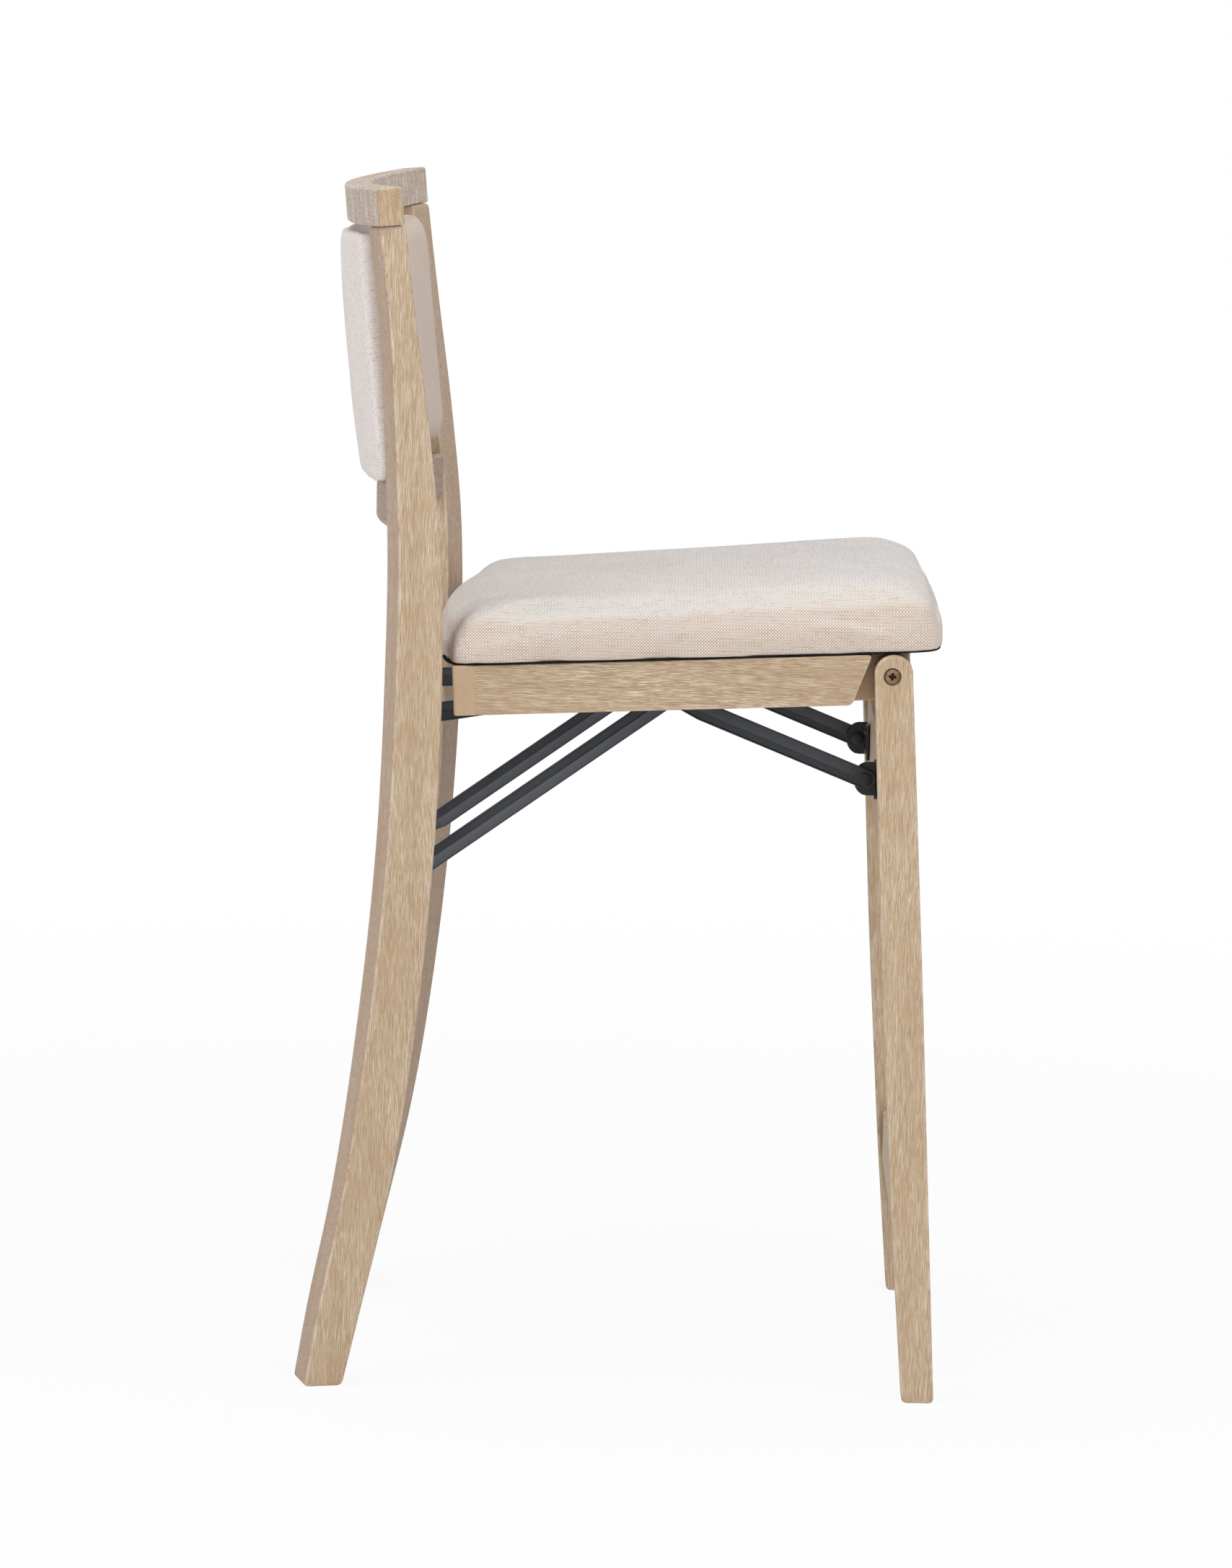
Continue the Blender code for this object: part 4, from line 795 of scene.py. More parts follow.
def makeFrontLegs(v):
    z = np.linspace(0, v["stations"][-1][0], 70)
    rear, front = (np.interp(z, [s[0] for s in v["stations"]], [s[c] for s in v["stations"]]) for c in (1, 2))
    side = v["ease"] // 2
    for edge in (rear, front):                              # the bends at the stations are eased by a running mean
        edge[side:-side] = np.convolve(edge, np.ones(v["ease"]) / v["ease"], "valid")
    radius = (front[-1] - rear[-1]) / 2
    centre = np.array([(front[-1] + rear[-1]) / 2, z[-1]])
    a = np.linspace(0, math.pi / 2, 14)[1:-1]
    turn = np.stack([np.cos(a), np.sin(a)], 1) * radius
    flat = radius * v["flat"]
    left, right = withCorners(np.stack([rear, z], 1), np.stack([front, z], 1), v["rounding"] * cornerReach)
    left, right = (edge[:-(cornerSteps + 1)] for edge in (left, right))     # the half round replaces these corners
    left = np.vstack([left, [[rear[-1], z[-1]]], centre + turn * (-1, 1), centre + [[-flat, radius]]])
    right = np.vstack([right, [[front[-1], z[-1]]], centre + turn, centre + [[flat, radius]]])
    for number, (word, side) in enumerate(sides):
        matrix = sideFrame(side * (v["outer"] - v["width"] / 2))
        leg = roundedPlate("frontLeg_" + word, left, right, v["width"], v["rounding"],
                           lambda p, m=matrix: carried(m, p), oak)
        for radius, deep in ((v["sinkRadius"], v["sinkDepth"]), (v["holeRadius"], v["through"])):
            bored(leg, v["pivot"], radius, side * (v["outer"] - deep), side * (v["outer"] + v["over"]))
        setGrain(leg, 2, (0.5 + 0.4 * number, 0.9, 0.1))
        standsFor(leg, "front_legs", "wood", "front_leg_" + word)


makeFrontLegs(frontLeg)


# Cross pieces between the front legs take their size from their nodes

crossPiece = {"rounding": 0.0022, "rows": 40}


def makeCrossPiece(name, node, body, look, offset, v=crossPiece):
    low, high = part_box(node)
    middle, half = (low + high) / 2, (high - low) / 2
    x = np.linspace(-half.x, half.x, v["rows"])
    low, high = (np.stack([x, np.full(len(x), z)], 1) for z in (-half.z, half.z))
    left, right = withCorners(low, high, v["rounding"] * cornerReach)
    piece = roundedPlate(name, left, right, half.y * 2, v["rounding"],
                         lambda p: p[:, (0, 2, 1)] + np.array(middle), look, grainAlong(0, offset))
    standsFor(piece, body, "wood", node)


makeCrossPiece("frontCrossRail", "front_cross_rail", "front_legs", oakPlain, (0.3, 0.2, 0.9))
makeCrossPiece("footrestRail", "footrest", "front_legs", oak, (1.3, 0.4, 0.2))
print("seat rails and front legs built")


# Steel bars: a strap of even width along a path with round ends, one face pressed to a ridge

linkage = {
    "upperRod": (-0.2432, 0.5127), "lowerRod": (-0.2406, 0.3907), "upperPin": (-0.0303, 0.5466),
    "lowerPin": (0.0103, 0.5476), "elbow": (-0.0359, 0.5313), "legPin": (0.1130, 0.4690),
    "width": 0.0150, "thickness": 0.0035, "rodHole": 0.0043, "pinHole": 0.0033,
    "upperInner": 0.1190, "lowerInner": 0.1260, "frontInner": 0.1330, "legPlateInner": 0.1300,
    "upperPath": ((-0.2126, 0.5135), (-0.1667, 0.5215)), "lowerPath": ((-0.2226, 0.3975),),
    "frontBend": (-0.0140, 0.5195), "rounding": 0.0007, "over": 0.01,
}
barFaces = {         # lines along each bar's face: share of the way across, rise, paler band as a painted highlight
    "upper": ((0.10, 0, 0.2), (0.40, 0, 0.2), (0.46, -0.0009, 0.0), (0.94, -0.0009, 0.0)),
    "lower": ((0.08, -0.0009, 0.0), (0.42, -0.0009, 0.0), (0.48, 0, 0.9), (0.94, 0, 0.55)),
    "front": ((0.08, 0, 0.25), (0.56, 0, 0.45), (0.62, -0.0010, 0.0), (0.95, -0.0010, 0.0)),
}


def strapEdges(path, width, rows=9):
    # offset by half the width on both sides of the path, corners mitred, and quarter turns at both ends
    p = np.array(path, float)
    d = unitRows(np.diff(p, axis=0))
    n = np.stack([-d[:, 1], d[:, 0]], 1)
    inner = unitRows(n[:-1] + n[1:])
    reach = 1 / np.sum(inner * n[1:], axis=1)
    normal = np.vstack([n[:1], inner * reach[:, None], n[-1:]]) * width / 2
    t = np.linspace(0, 1, rows)[1:-1, None]
    lines = []
    for sign in (1, -1):
        edge = p + sign * normal
        body = [edge[:1]]
        for a, b in zip(edge, edge[1:]):
            body += [a * (1 - t) + b * t, b[None]]
        a = np.linspace(0.02, math.pi / 2, 10)[:-1, None]
        start = p[0] - np.cos(a) * d[0] * width / 2 + np.sin(a) * sign * n[0] * width / 2
        end = p[-1] + np.cos(a) * d[-1] * width / 2 + np.sin(a) * sign * n[-1] * width / 2
        lines.append(np.vstack([start, *body, end[::-1]]))
    return lines


def makeBars(v):
    plans = (
        ("upper", "upperRearBar", "upper_rear_bar", "upper_rear_bars",
         (v["upperRod"], *v["upperPath"], v["upperPin"]), "upperRod", "rodHole"),
        ("lower", "lowerRearBar", "lower_rear_bar", "lower_rear_bars",
         (v["lowerRod"], *v["lowerPath"], v["elbow"], v["lowerPin"]), "lowerRod", "rodHole"),
        ("front", "frontBar", "front_bar", "front_bars", (v["elbow"], v["frontBend"], v["legPin"]),
         "legPin", "pinHole"),
    )
    for kind, name, node, body, path, pin, hole in plans:
        left, right = strapEdges(path, v["width"])
        for word, side in sides:
            middle = side * (v[kind + "Inner"] + v["thickness"] / 2)
            matrix = sideFrame(middle)
            bar = roundedPlate(name + "_" + word, left, right, v["thickness"], v["rounding"],
                               lambda p, m=matrix: carried(m, p), steel, steps=2, face=barFaces[kind])
            bored(bar, v[pin], v[hole], middle - v["over"], middle + v["over"])
            standsFor(bar, body, "black_steel", node + "_" + word)


makeBars(linkage)


# Turned pieces: a radius profile spun about the pin's line; a cross is pressed into a screw's head, and marked to
# be painted with shade

def turned(name, place, profile, look, recess=None, around=48):
    x, r = np.array(profile, float).T
    a = np.linspace(0, 2 * math.pi, around, endpoint=False)
    xs = np.repeat(x[:, None], around, 1)
    y, z = r[:, None] * np.cos(a), r[:, None] * np.sin(a)
    band = np.zeros_like(xs)
    if recess is not None:
        way, reach, mask = recess
        # band marks the pressed cross, for the depth of the press and for the painted shade in it
        band = mask(y, z) * (r[:, None] < reach) * (np.arange(len(x))[:, None] < crossRecess["rows"])
        xs = xs - way * band * crossRecess["depth"]
    points = np.stack([xs, yOf(place[0]) + y, place[1] + z], -1).reshape(-1, 3)
    piece = meshPiece(name, points, gridFaces(len(x), around), look, {"band": band.ravel()})
    weld = piece.modifiers.new("Poles", "WELD")
    weld.merge_threshold = 0.000002
    applyAll(piece, 40)
    return piece


rivets = {"stem": 0.0030, "head": 0.0050, "rise": 0.0016, "soft": 0.0005, "gap": 0.0003}


def makeRivets(v, link):
    t, g = link["thickness"], v["gap"]
    spans = (
        ("upperBarRivet", "upper_bar_rivet", "upper_rear_bars", "upperPin", link["upperInner"] - g,
         link["upperInner"] + t + 0.0030, v["rise"], 0),
        ("lowerBarRivet", "lower_bar_rivet", "lower_rear_bars", "lowerPin", link["lowerInner"],
         link["lowerInner"] + t + g, 0, v["rise"]),
        ("elbowRivet", "elbow_rivet", "front_bars", "elbow", link["frontInner"] - g, link["frontInner"] + t + g,
         link["frontInner"] - link["lowerInner"] - t - 2 * g, v["rise"]),
        ("legPlateRivet", "leg_bracket_rivet", "front_legs", "legPin", link["legPlateInner"] - g,
         link["frontInner"] + t + g, v["rise"], v["rise"]),
    )
    for name, node, body, pin, low, high, inHead, outHead in spans:
        profile = [(high + outHead, 0.0)]
        if outHead:
            profile += [(high + outHead, v["head"] - v["soft"] * 2),
                        (high + outHead - v["soft"] * 0.3, v["head"] - v["soft"]),
                        (high + outHead - v["soft"], v["head"]), (high, v["head"])]
        profile += [(high, v["stem"]), (low, v["stem"])]
        if inHead:
            profile += [(low, v["head"]), (low - inHead + v["soft"], v["head"]),
                        (low - inHead + v["soft"] * 0.3, v["head"] - v["soft"]),
                        (low - inHead, v["head"] - v["soft"] * 2)]
        profile.append((low - inHead, 0.0))
        for word, side in sides:
            piece = turned(name + "_" + word, link[pin], [(side * x, r) for x, r in profile], steelDeep)
            standsFor(piece, body, "black_steel", node + "_" + word)


# The pressed cross: 1 inside either arm, 0 outside, with tapered walls, on axes turned a little; it sets both how
# deep the cross is pressed and the painted shade in it

crossRecess = {"depth": 0.0018, "arm": 0.0028, "wide": 0.0011, "reach": 0.75, "rows": 34, "turn": 0.12,
               "armWall": 0.0005, "sideWall": 0.0003}


def crossMask(y, z, v=crossRecess):
    c, s = math.cos(v["turn"]), math.sin(v["turn"])
    a, b = y * c + z * s, z * c - y * s

    def slot(p, q):
        return (np.clip((v["arm"] - np.abs(p)) / v["armWall"], 0, 1)
                * np.clip((v["wide"] - np.abs(q)) / v["sideWall"], 0, 1))

    return np.maximum(slot(a, b), slot(b, a))


screw = {"head": 0.0057, "rise": 0.0026, "shank": 0.0030, "length": 0.036, "gap": 0.0003, "crown": 0.0007,
         "edge": 0.0003, "point": 0.001}


def makeScrews(v, leg):
    foot = leg["outer"] - leg["sinkDepth"] + v["gap"]
    crown = [(foot + v["rise"] - v["crown"] * (r / v["head"]) ** 2.4, r)
             for r in np.linspace(0, v["head"] * 0.94, crossRecess["rows"])]
    tip = foot + v["rise"] - v["length"]
    profile = crown + [(foot + v["rise"] - v["crown"] - v["edge"], v["head"]), (foot, v["head"]),
                       (foot, v["shank"]), (tip + v["point"], v["shank"]), (tip, 0.0)]
    for word, side in sides:
        cross = (side, v["head"] * crossRecess["reach"], crossMask)
        piece = turned("pivotScrew_" + word, leg["pivot"], [(side * x, r) for x, r in profile], bronze,
                       cross, around=96)
        standsFor(piece, "seat", "bronze_screw", "pivot_screw_" + word)


makeRivets(rivets, linkage)
makeScrews(screw, frontLeg)
print("bars, rivets and screws built")


# Padding: a closed grid is remeshed, swollen by cloth pressure with its movement capped, then refined

def closedGrid(rings):
    # rings is rows x around x 3; both ends are closed to the mean of their ring
    rows, around = rings.shape[:2]
    i = np.arange(around)
    j = (i + 1) % around
    first = np.stack([j, i, np.full(around, rows * around)], -1)
    top = (rows - 1) * around
    last = np.stack([i + top, j + top, np.full(around, rows * around + 1)], -1)
    points = np.vstack([rings.reshape(-1, 3), rings[0].mean(0), rings[-1].mean(0)])
    return points, gridFaces(rows, around).tolist() + first.tolist() + last.tolist()


padRows = {"arc": 9, "side": 14, "inmost": 0.05}


def padProfile(height, lowRadius, highRadius, lowRows=10, highRows=16):
    # from the middle of the low face over an arc, up the side and over an arc to the middle of the high face;
    # each row has its share of the plan, how far the outline is drawn in, its level, and 1 on the high face
    a = np.linspace(0, math.pi / 2, padRows["arc"])
    faceLow = np.linspace(padRows["inmost"], 1, lowRows)[:-1]
    faceHigh = np.linspace(1, padRows["inmost"], highRows)[1:]
    side = np.linspace(lowRadius, height - highRadius, padRows["side"])[1:-1]
    below, arc, up, above = len(faceLow), len(a), len(side), len(faceHigh)
    share = np.concatenate([faceLow, np.ones(2 * arc + up), faceHigh])
    low = np.concatenate([np.ones(below), 1 - np.sin(a), np.zeros(up + arc + above)]) * lowRadius
    high = np.concatenate([np.zeros(below + arc + up), 1 - np.cos(a), np.ones(above)]) * highRadius
    level = np.concatenate([np.zeros(below), lowRadius * (1 - np.cos(a)), side,
                            height - highRadius + highRadius * np.sin(a), np.full(above, height)])
    onTop = np.concatenate([np.zeros(below + 2 * arc + up), np.ones(above)])
    return share[:, None], (low + high)[:, None], level[:, None], onTop[:, None]


def roundedSquare(around, power):
    # the curve |x|^power + |y|^power = 1, point by point at even angles
    a = np.linspace(0, 2 * math.pi, around, endpoint=False)
    size = 1 / (np.abs(np.cos(a)) ** power + np.abs(np.sin(a)) ** power) ** (1 / power)
    return np.cos(a) * size, np.sin(a) * size


clothing = {"frames": 20, "quality": 4, "mass": 0.3, "stretch": 25, "bending": 2.0,
            "holds": (0.25, 0.5, 0.75, 1.0), "softenTurns": 4, "softenFactor": 0.5}


def puffed(name, points, faces, look, v, pinned):
    # pinned gives each point's hold from 0 to 1; the swelling stops at v["cap"]
    mesh = bpy.data.meshes.new(name)
    mesh.from_pydata(points.tolist(), [], faces)
    mesh.update()
    piece = inScene(name, mesh)
    remesh = piece.modifiers.new("Even mesh", "REMESH")
    remesh.mode, remesh.voxel_size = "VOXEL", v["voxel"]
    applyAll(piece)
    rest = coordinates(piece)
    held = piece.vertex_groups.new(name="held")
    weights = pinned(rest)
    for level in clothing["holds"]:
        members = np.nonzero(np.abs(weights - level) < 0.125)[0]
        held.add(members.tolist(), level, "REPLACE")
    cloth = piece.modifiers.new("Cloth", "CLOTH")
    cloth.settings.quality = clothing["quality"]
    cloth.settings.mass = clothing["mass"]
    cloth.settings.tension_stiffness = cloth.settings.compression_stiffness = clothing["stretch"]
    cloth.settings.bending_stiffness = clothing["bending"]
    cloth.settings.use_pressure = True
    cloth.settings.uniform_pressure_force = v["pressure"]
    cloth.settings.vertex_group_mass = "held"
    cloth.settings.effector_weights.gravity = 0.0
    for step in range(1, clothing["frames"] + 1):
        bpy.context.scene.frame_set(step)
    swollen = piece.evaluated_get(bpy.context.evaluated_depsgraph_get())
    moved = np.zeros(len(rest) * 3)
    swollen.data.vertices.foreach_get("co", moved)
    piece.modifiers.clear()
    bpy.context.scene.frame_set(1)
    step = moved.reshape(-1, 3) - rest
    length = np.linalg.norm(step, axis=1)
    print(name, "swelled by up to %.1f mm" % (length.max() * 1000))
    rest = rest + step * (np.minimum(length, v["cap"]) / np.maximum(length, 1e-9))[:, None]
    piece.vertex_groups.clear()
    setCoordinates(piece, rest)
    soften = piece.modifiers.new("Soften", "SMOOTH")
    soften.iterations, soften.factor = clothing["softenTurns"], clothing["softenFactor"]
    refine = piece.modifiers.new("Refine", "SUBSURF")
    refine.levels = refine.render_levels = 1
    applyAll(piece)
    piece.data.materials.clear()
    piece.data.materials.append(look)
    piece.data.shade_smooth()
    return piece


def nearLine(points, line):
    # distance of every point to a run of straight stretches, and the share of its length at the nearest place
    a, b = line[:-1], line[1:]
    d = b - a
    size = np.sum(d * d, axis=1)
    t = np.clip(np.einsum("nsj,sj->ns", points[:, None] - a[None], d) / size, 0, 1)
    gap = np.linalg.norm(points[:, None] - (a[None] + t[..., None] * d[None]), axis=2)
    best = np.argmin(gap, axis=1)
    run = np.concatenate([[0], np.cumsum(np.sqrt(size))])
    row = np.arange(len(points))
    return gap[row, best], (run[best] + t[row, best] * np.sqrt(size)[best]) / run[-1]


# Seat cushion: plan from a rounded square, wider in front; sides widest a third up, drawn in above; crowned top

cushion = {"front": 0.1722, "rear": -0.2090, "halfFront": 0.2290, "halfRear": 0.2130, "heightFront": 0.0510,
           "heightRear": 0.0428, "draw": 0.007, "tuck": 0.0005, "widest": 0.42, "bow": 0.014, "frontBow": 0.003,
           "shoulder": 0.93, "lowRadius": 0.002, "highRadius": 0.013, "squareness": 20, "hem": 0.009,
           "smaller": 0.0018, "cap": 0.005, "low": 0.0394, "voxel": 0.0042, "pressure": 4.0, "fill": 0.75,
           "crease": ((-0.213, 0.566), (-0.2115, 0.583), (-0.204, 0.597), (-0.193, 0.609), (-0.176, 0.620),
                      (-0.158, 0.627), (-0.135, 0.631), (-0.101, 0.634)),
           "creaseDepth": 0.0062, "creaseWidth": 0.0072, "creaseInner": 0.135, "creaseRun": 0.05,
           "creaseFade": 0.70, "ridge": 0.25, "cornerEase": 0.015, "crownPower": 3.4, "heldUpTo": 0.006,
           "halfHeldUpTo": 0.012, "rumple": 0.0006, "rumpleFrom": 0.02}


def seatAlong(ahead):
    return (ahead - seat["cornerAhead"]) / math.cos(seat["tilt"])


def cushionPlan(v, x, y, smaller=0.0):
    # unit square to plan: the half width grows evenly to the front, the corners come in by cornerEase x²y², and the
    # front and rear edges bow by (1 - x²)|y|³
    front, rear = seatAlong(v["front"]) - smaller, seatAlong(v["rear"]) + smaller
    ahead = -y
    half = v["halfRear"] + (v["halfFront"] - v["halfRear"]) * (ahead + 1) / 2 - smaller
    corner = np.sqrt(1.0 - v["cornerEase"] * x ** 2 * y ** 2)
    bow = np.where(ahead < 0, -v["bow"], v["frontBow"]) * (1 - x ** 2) * np.abs(ahead) ** 3
    return x * half * corner, -((front + rear) / 2 + ahead * (front - rear) / 2 * corner + bow)


def makeSeatCushion(v):
    edgeHigh = v["heightRear"] * v["shoulder"]
    share, drawn, level, onTop = padProfile(edgeHigh, v["lowRadius"], v["highRadius"])
    x, y = roundedSquare(240, v["squareness"])
    up = level / edgeHigh
    above = np.maximum(0, up - v["widest"]) / (1 - v["widest"])
    below = np.maximum(0, v["widest"] - up) / v["widest"]
    inset = v["smaller"] + drawn + v["draw"] * above ** 1.4 + v["tuck"] * below ** 2
    across, back = cushionPlan(v, x, y, 0.0)
    full = v["heightRear"] + (v["heightFront"] - v["heightRear"]) * (1 - y * share) / 2
    middle = (seatAlong(v["front"]) + seatAlong(v["rear"])) / -2
    halfX = v["halfRear"] + (v["halfFront"] - v["halfRear"]) * (1 - y) / 2
    halfY = (seatAlong(v["front"]) - seatAlong(v["rear"])) / 2
    local = np.stack(np.broadcast_arrays(
        across * share * (1 - inset / halfX), middle + (back - middle) * share * (1 - inset / halfY),
        v["low"] + level * (full - v["smaller"]) / v["heightRear"]
        + onTop * full * (1 - v["shoulder"]) * (1 - share ** v["crownPower"])), -1)
    points, faces = closedGrid(carried(seatFrame(), local.reshape(-1, 3)).reshape(local.shape))
    inSeat = seatFrame().inverted()

    def pinned(p):
        up = carried(inSeat, p)[:, 2] - v["low"]
        return np.where(up < v["heldUpTo"], 1.0, np.where(up < v["halfHeldUpTo"], 0.5, 0.0))

    piece = puffed("seatCushion", points, faces, linen, v, pinned)
    p = coordinates(piece)
    normals = np.zeros(len(p) * 3)
    piece.data.vertices.foreach_get("normal", normals)
    normals = normals.reshape(-1, 3)
    line = np.array([(0, yOf(ahead), height) for ahead, height in v["crease"]])
    for side in (-1, 1):
        gap, along = nearLine(p * (0, 1, 1), line)            # the crease as it is seen from the side
        near = np.clip((side * p[:, 0] - v["creaseInner"]) / v["creaseRun"], 0, 1)
        strength = np.clip((1.0 - along) / v["creaseFade"], 0, 1) ** 0.8 * near
        valley = np.exp(-(gap / v["creaseWidth"]) ** 2) * strength
        beside = (gap - 2.1 * v["creaseWidth"]) / (1.1 * v["creaseWidth"])
        ridge = np.exp(-beside ** 2) * strength * v["ridge"]
        p -= normals * (v["creaseDepth"] * (valley - ridge))[:, None]
    rumple = np.sin(p[:, 1] * 31 + p[:, 0] * 17) * np.sin(p[:, 0] * 23 - p[:, 2] * 60 + 1.3)
    up = carried(inSeat, p)[:, 2] - v["low"]
    p += normals * (v["rumple"] * rumple * np.clip(up / v["rumpleFrom"], 0, 1))[:, None]
    local = carried(inSeat, p)
    up = np.maximum(local[:, 2] - v["low"], 0.0001)          # the hem is pulled down: a tighter lower corner
    local[:, 2] = v["low"] + np.where(up < v["hem"], up * (up / v["hem"]) ** 0.8, up)
    setCoordinates(piece, carried(seatFrame(), local))
    standsFor(piece, "seat", "linen", "seat_cushion", "seat_board")


# Back pad: a pillowed slab on the back's arc; b is its depth at x, less the arc's sag

backPad = {"low": 0.6902, "high": 0.8835, "halfWidth": 0.1690, "thickness": 0.0430, "centreBack": -0.2965,
           "lean": math.radians(6.0), "radius": 0.700, "smaller": 0.0020, "cap": 0.004, "voxel": 0.0045,
           "frontRadius": 0.012, "backRadius": 0.005, "crown": 0.003, "squareness": 20, "drop": 0.009,
           "pressure": 4.0, "fill": 0.7, "held": 0.006, "clear": 0.0004}


def makeBackPad(v):
    matrix = (Matrix.Translation((0, yOf(v["centreBack"]), (v["low"] + v["high"]) / 2))
              @ Matrix.Rotation(-v["lean"], 4, "X"))
    halfHigh = (v["high"] - v["low"]) / 2
    share, drawn, level, onTop = padProfile(v["thickness"] - 2 * v["smaller"], v["frontRadius"],
                                            v["backRadius"], 14, 14)
    onFront = (share < 1) * (1 - onTop)
    x, z = roundedSquare(240, v["squareness"])
    inset = v["smaller"] + drawn
    across = x * share * (v["halfWidth"] - inset)
    up = z * share * (halfHigh - inset)
    dome = (onTop * v["crown"] - onFront * v["crown"]) * (1 - share ** 2.4)
    back = level - v["thickness"] + v["smaller"] + dome - v["crown"] * 0.6
    sag = v["radius"] - np.sqrt(v["radius"] ** 2 - across ** 2)
    hang = v["drop"] * np.clip(level / v["thickness"] * 1.6 - 0.5, 0, 1) * np.clip(-z * share, 0, 1) ** 6
    local = np.stack(np.broadcast_arrays(across, back - sag, up - hang), -1)
    points, faces = closedGrid(carried(matrix, local.reshape(-1, 3)).reshape(local.shape))
    piece = puffed("backPad", points, faces, padLinen, v,
                   lambda p: np.where(np.abs(p[:, 0]) > v["halfWidth"] - v["held"], 1.0, 0.0))
    inverse = matrix.inverted()
    local = carried(inverse, coordinates(piece))
    local[:, 0] = np.clip(local[:, 0], -v["halfWidth"] + v["clear"], v["halfWidth"] - v["clear"])
    low = -halfHigh + v["clear"] - v["drop"] * np.clip((local[:, 1] + v["thickness"] * 0.55) / 0.012, 0, 1)
    local[:, 2] = np.clip(local[:, 2], low, halfHigh - v["clear"])
    setCoordinates(piece, carried(matrix, local))
    standsFor(piece, "rear_frame", "linen", "back_pad", "back_pad_board")


makeSeatCushion(cushion)
makeBackPad(backPad)
print("cushion and back pad made")


# Dust cover: a thin black sheet under the cushion; its raised ragged rim shows as a black line, partly the cover's
# own edge and partly a painted shadow line in the gap under the cushion's hem

dustCover = {"inset": 0.0040, "low": 0.0382, "rim": 0.0016, "ragged": 0.0010, "turnIn": 0.008, "around": 420,
             "middle": 0.10, "lip": 0.0004, "heel": 0.0003, "sheet": 0.0009, "rimWidth": 0.0010}


def makeDustCover(v):
    a = np.linspace(0, 2 * math.pi, v["around"], endpoint=False)
    squareX, squareY = roundedSquare(v["around"], cushion["squareness"])
    ragged = 0.5 + 0.28 * np.sin(a * 17 + 1) + 0.16 * np.sin(a * 41) + 0.12 * np.sin(a * 97 + 2)
    rings = []
    outmost = v["inset"] - v["lip"]
    plan = ((v["middle"], 0.0, 0), (v["turnIn"], 0.0, 0), (v["inset"], v["heel"], 0), (outmost, 0.5, 1),
            (outmost, 1.0, 1), (v["inset"] + v["rimWidth"], 1.0, 1), (v["turnIn"], 0.4, 1),
            (v["middle"], v["sheet"], 0))
    for inset, height, torn in plan:                # height is a share of the ragged rim where torn is 1
        x, y = cushionPlan(cushion, squareX, squareY, inset)
        rise = height * (v["rim"] * 0.55 + v["ragged"] * ragged) if torn else height
        rings.append(np.stack([x, y, v["low"] + rise + 0 * a], -1))
    points = carried(seatFrame(), np.array(rings).reshape(-1, 3))
    piece = meshPiece("dustCover", points, gridFaces(len(rings), v["around"], True), blackCloth)
    standsFor(piece, "seat", "black_cloth", "dust_cover")


makeDustCover(dustCover)


# Stage: pale floor with the stool's shadow, white beyond, soft light from the front side

floorFade = {"near": 0.5, "far": 2.6, "nearShare": 0.90, "farShare": 1.0, "halfSize": 30}


def seenByCamera(tree):
    # 1 for rays of the camera, straight, mirrored or through glass, and 0 for the light that falls on the stool
    ray = put(tree, "LightPath").outputs
    return maths(tree, "MAXIMUM", ray["Is Camera Ray"],
                 maths(tree, "MAXIMUM", ray["Is Glossy Ray"], ray["Is Transmission Ray"]))


def mixedShader(tree, share, one, other, target):
    mix = put(tree, "MixShader")
    for slot, value in ((0, share), (1, one), (2, other)):
        wire(tree, value, mix.inputs[slot])
    wire(tree, mix.outputs[0], put(tree, target).inputs[0])


def makeFloor(v):
    mesh = bpy.data.meshes.new("floor")
    h = v["halfSize"]
    mesh.from_pydata([(-h, -h, 0), (h, -h, 0), (h, h, 0), (-h, h, 0)], [], [(0, 1, 2, 3)])
    floor = inScene("floor", mesh)
    mat = bpy.data.materials.new("paleFloor")
    mat.use_nodes = True
    t = mat.node_tree
    t.nodes.clear()
    seen = seenByCamera(t)
    lit = put(t, "BsdfDiffuse", Color=(0.86, 0.86, 0.86, 1)).outputs[0]
    white = put(t, "Emission", Color=(1, 1, 1, 1), Strength=1.0).outputs[0]
    place = put(t, "TexCoord").outputs["Object"]
    away = put(t, "VectorMath", {"operation": "LENGTH"}, Vector=place).outputs["Value"]
    share = between(t, away, v["near"], v["far"], v["nearShare"], v["farShare"])
    mixedShader(t, maths(t, "MULTIPLY", seen, share), lit, white, "OutputMaterial")
    mesh.materials.append(mat)


def makeWorld(strength):
    world = bpy.data.worlds.new("softStudio")
    bpy.context.scene.world = world
    world.use_nodes = True
    t = world.node_tree
    t.nodes.clear()
    seen = seenByCamera(t)
    plain = put(t, "Background", Color=(0.93, 0.95, 1.0, 1), Strength=strength).outputs[0]
    white = put(t, "Background", Color=(1, 1, 1, 1), Strength=1.0).outputs[0]
    mixedShader(t, seen, plain, white, "OutputWorld")


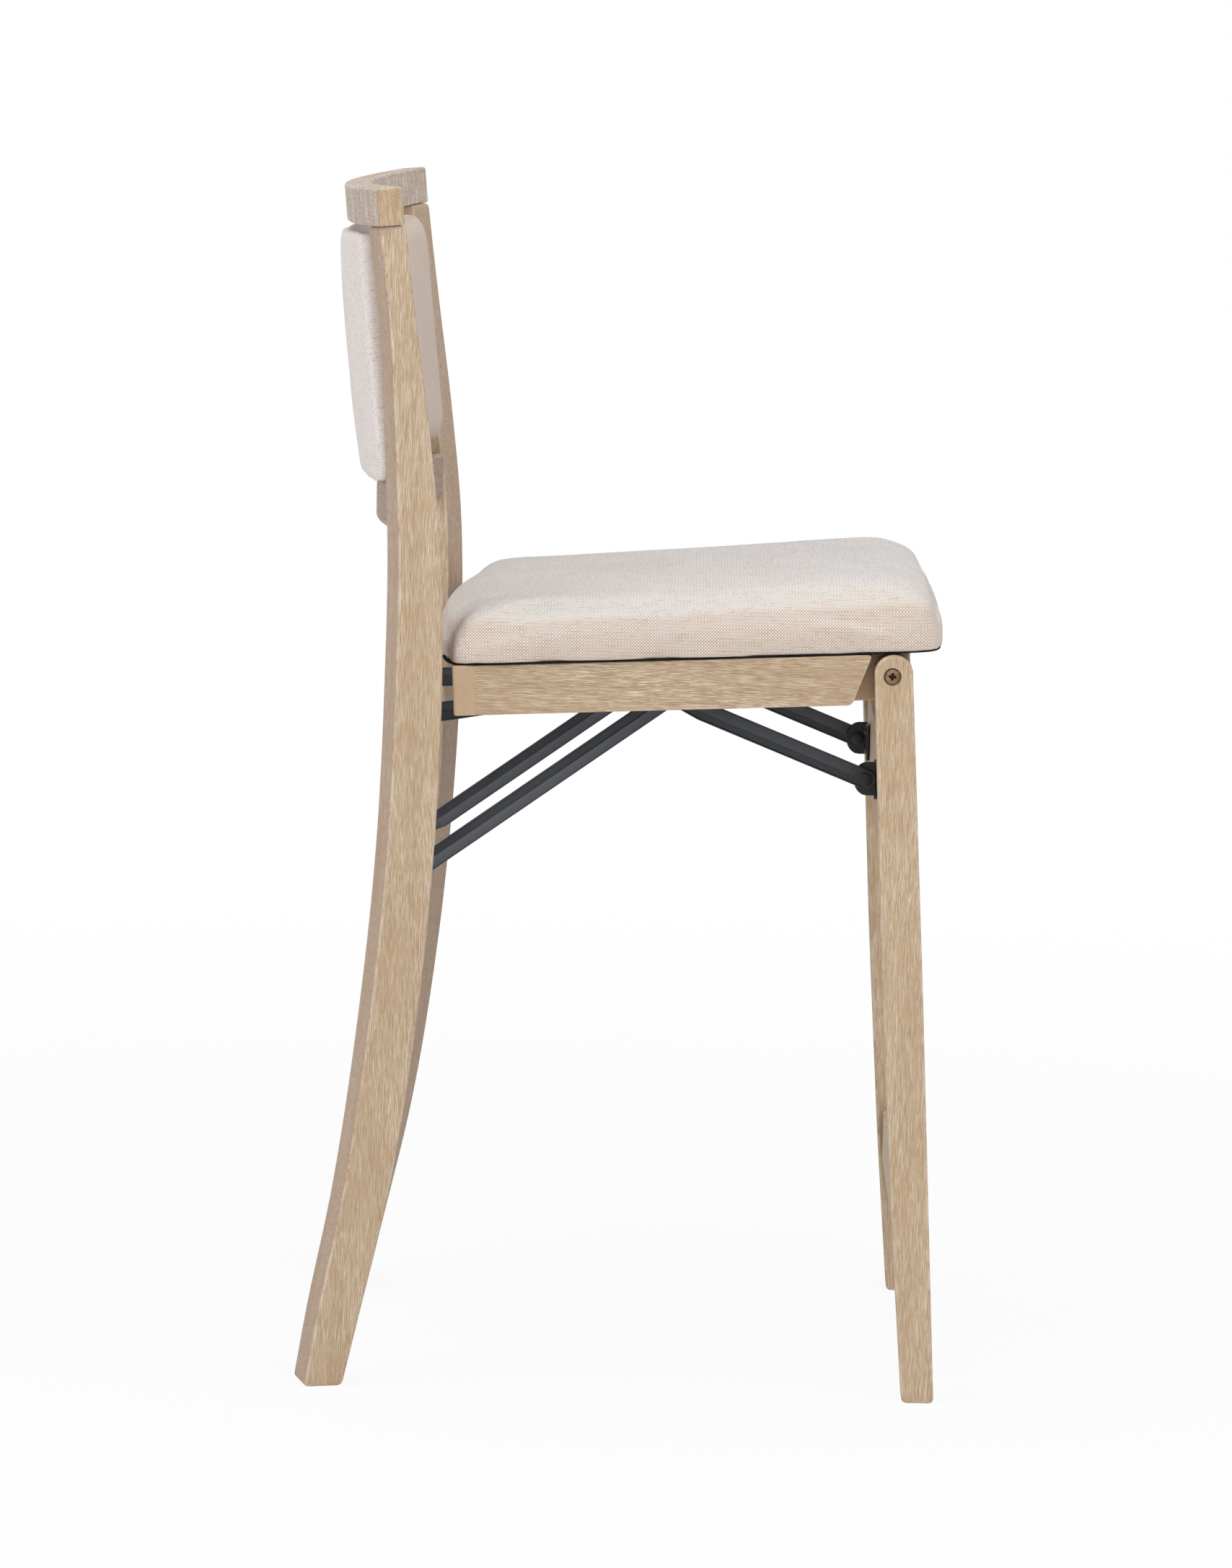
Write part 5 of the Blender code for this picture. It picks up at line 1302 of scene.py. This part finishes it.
def makeLamp(name, place, aim, size, power, colour):
    data = bpy.data.lights.new(name, "AREA")
    data.shape, data.size, data.energy, data.color = "SQUARE", size, power, colour
    lamp = inScene(name, data)
    lamp.location = place
    lamp.rotation_euler = (Vector(aim) - Vector(place)).to_track_quat("-Z", "Y").to_euler()


lights = {"world": 0.60, "key": 37, "top": 23, "rear": 22}
makeFloor(floorFade)
makeWorld(lights["world"])
makeLamp("keySoftbox", (-2.6, -1.5, 1.9), (0, 0, 0.5), 2.4, lights["key"], (1.0, 0.985, 0.96))
makeLamp("topSoftbox", (-0.4, 0.3, 3.2), (0, 0, 0.4), 2.2, lights["top"], (1.0, 1.0, 1.0))
makeLamp("rearSoftbox", (-1.6, 2.6, 1.5), (0, 0, 0.6), 2.0, lights["rear"], (1.0, 0.99, 0.98))

view = {"focalPixels": 9217, "imagePixels": (1708, 2174), "sidewaysVanishing": (975, -90),
        "roll": math.radians(-1.15), "place": (-5.21, -0.047813, 1.11068), "sensor": 36}


def makeCamera(v):
    # the stool's X axis points at its vanishing point; up is square to it, then both other axes are rolled
    f, (w, h) = v["focalPixels"], v["imagePixels"]
    vanishX, vanishY = v["sidewaysVanishing"]
    across = Vector(((vanishX - w / 2) / f, (vanishY - h / 2) / f, 1)).normalized()
    up = Vector((0, -1, 0))
    up = (up - across * up.dot(across)).normalized()
    ahead = up.cross(across)
    ahead = ahead if ahead.x > 0 else -ahead
    c, s = math.cos(v["roll"]), math.sin(v["roll"])
    ahead, up = ahead * c + up * s, up * c - ahead * s
    right, down, out = (Vector((across[i], -ahead[i], up[i])) for i in range(3))
    data = bpy.data.cameras.new("photoView")
    data.sensor_width = v["sensor"]
    data.lens = f * v["sensor"] / max(w, h)
    camera = inScene("photoView", data)
    camera.matrix_world = Matrix((
        (right.x, -down.x, -out.x, v["place"][0]), (right.y, -down.y, -out.y, v["place"][1]),
        (right.z, -down.z, -out.z, v["place"][2]), (0, 0, 0, 1)))
    bpy.context.scene.camera = camera


makeCamera(view)
bpy.context.scene.view_settings.view_transform = "Standard"
print("stage, lights and camera set")
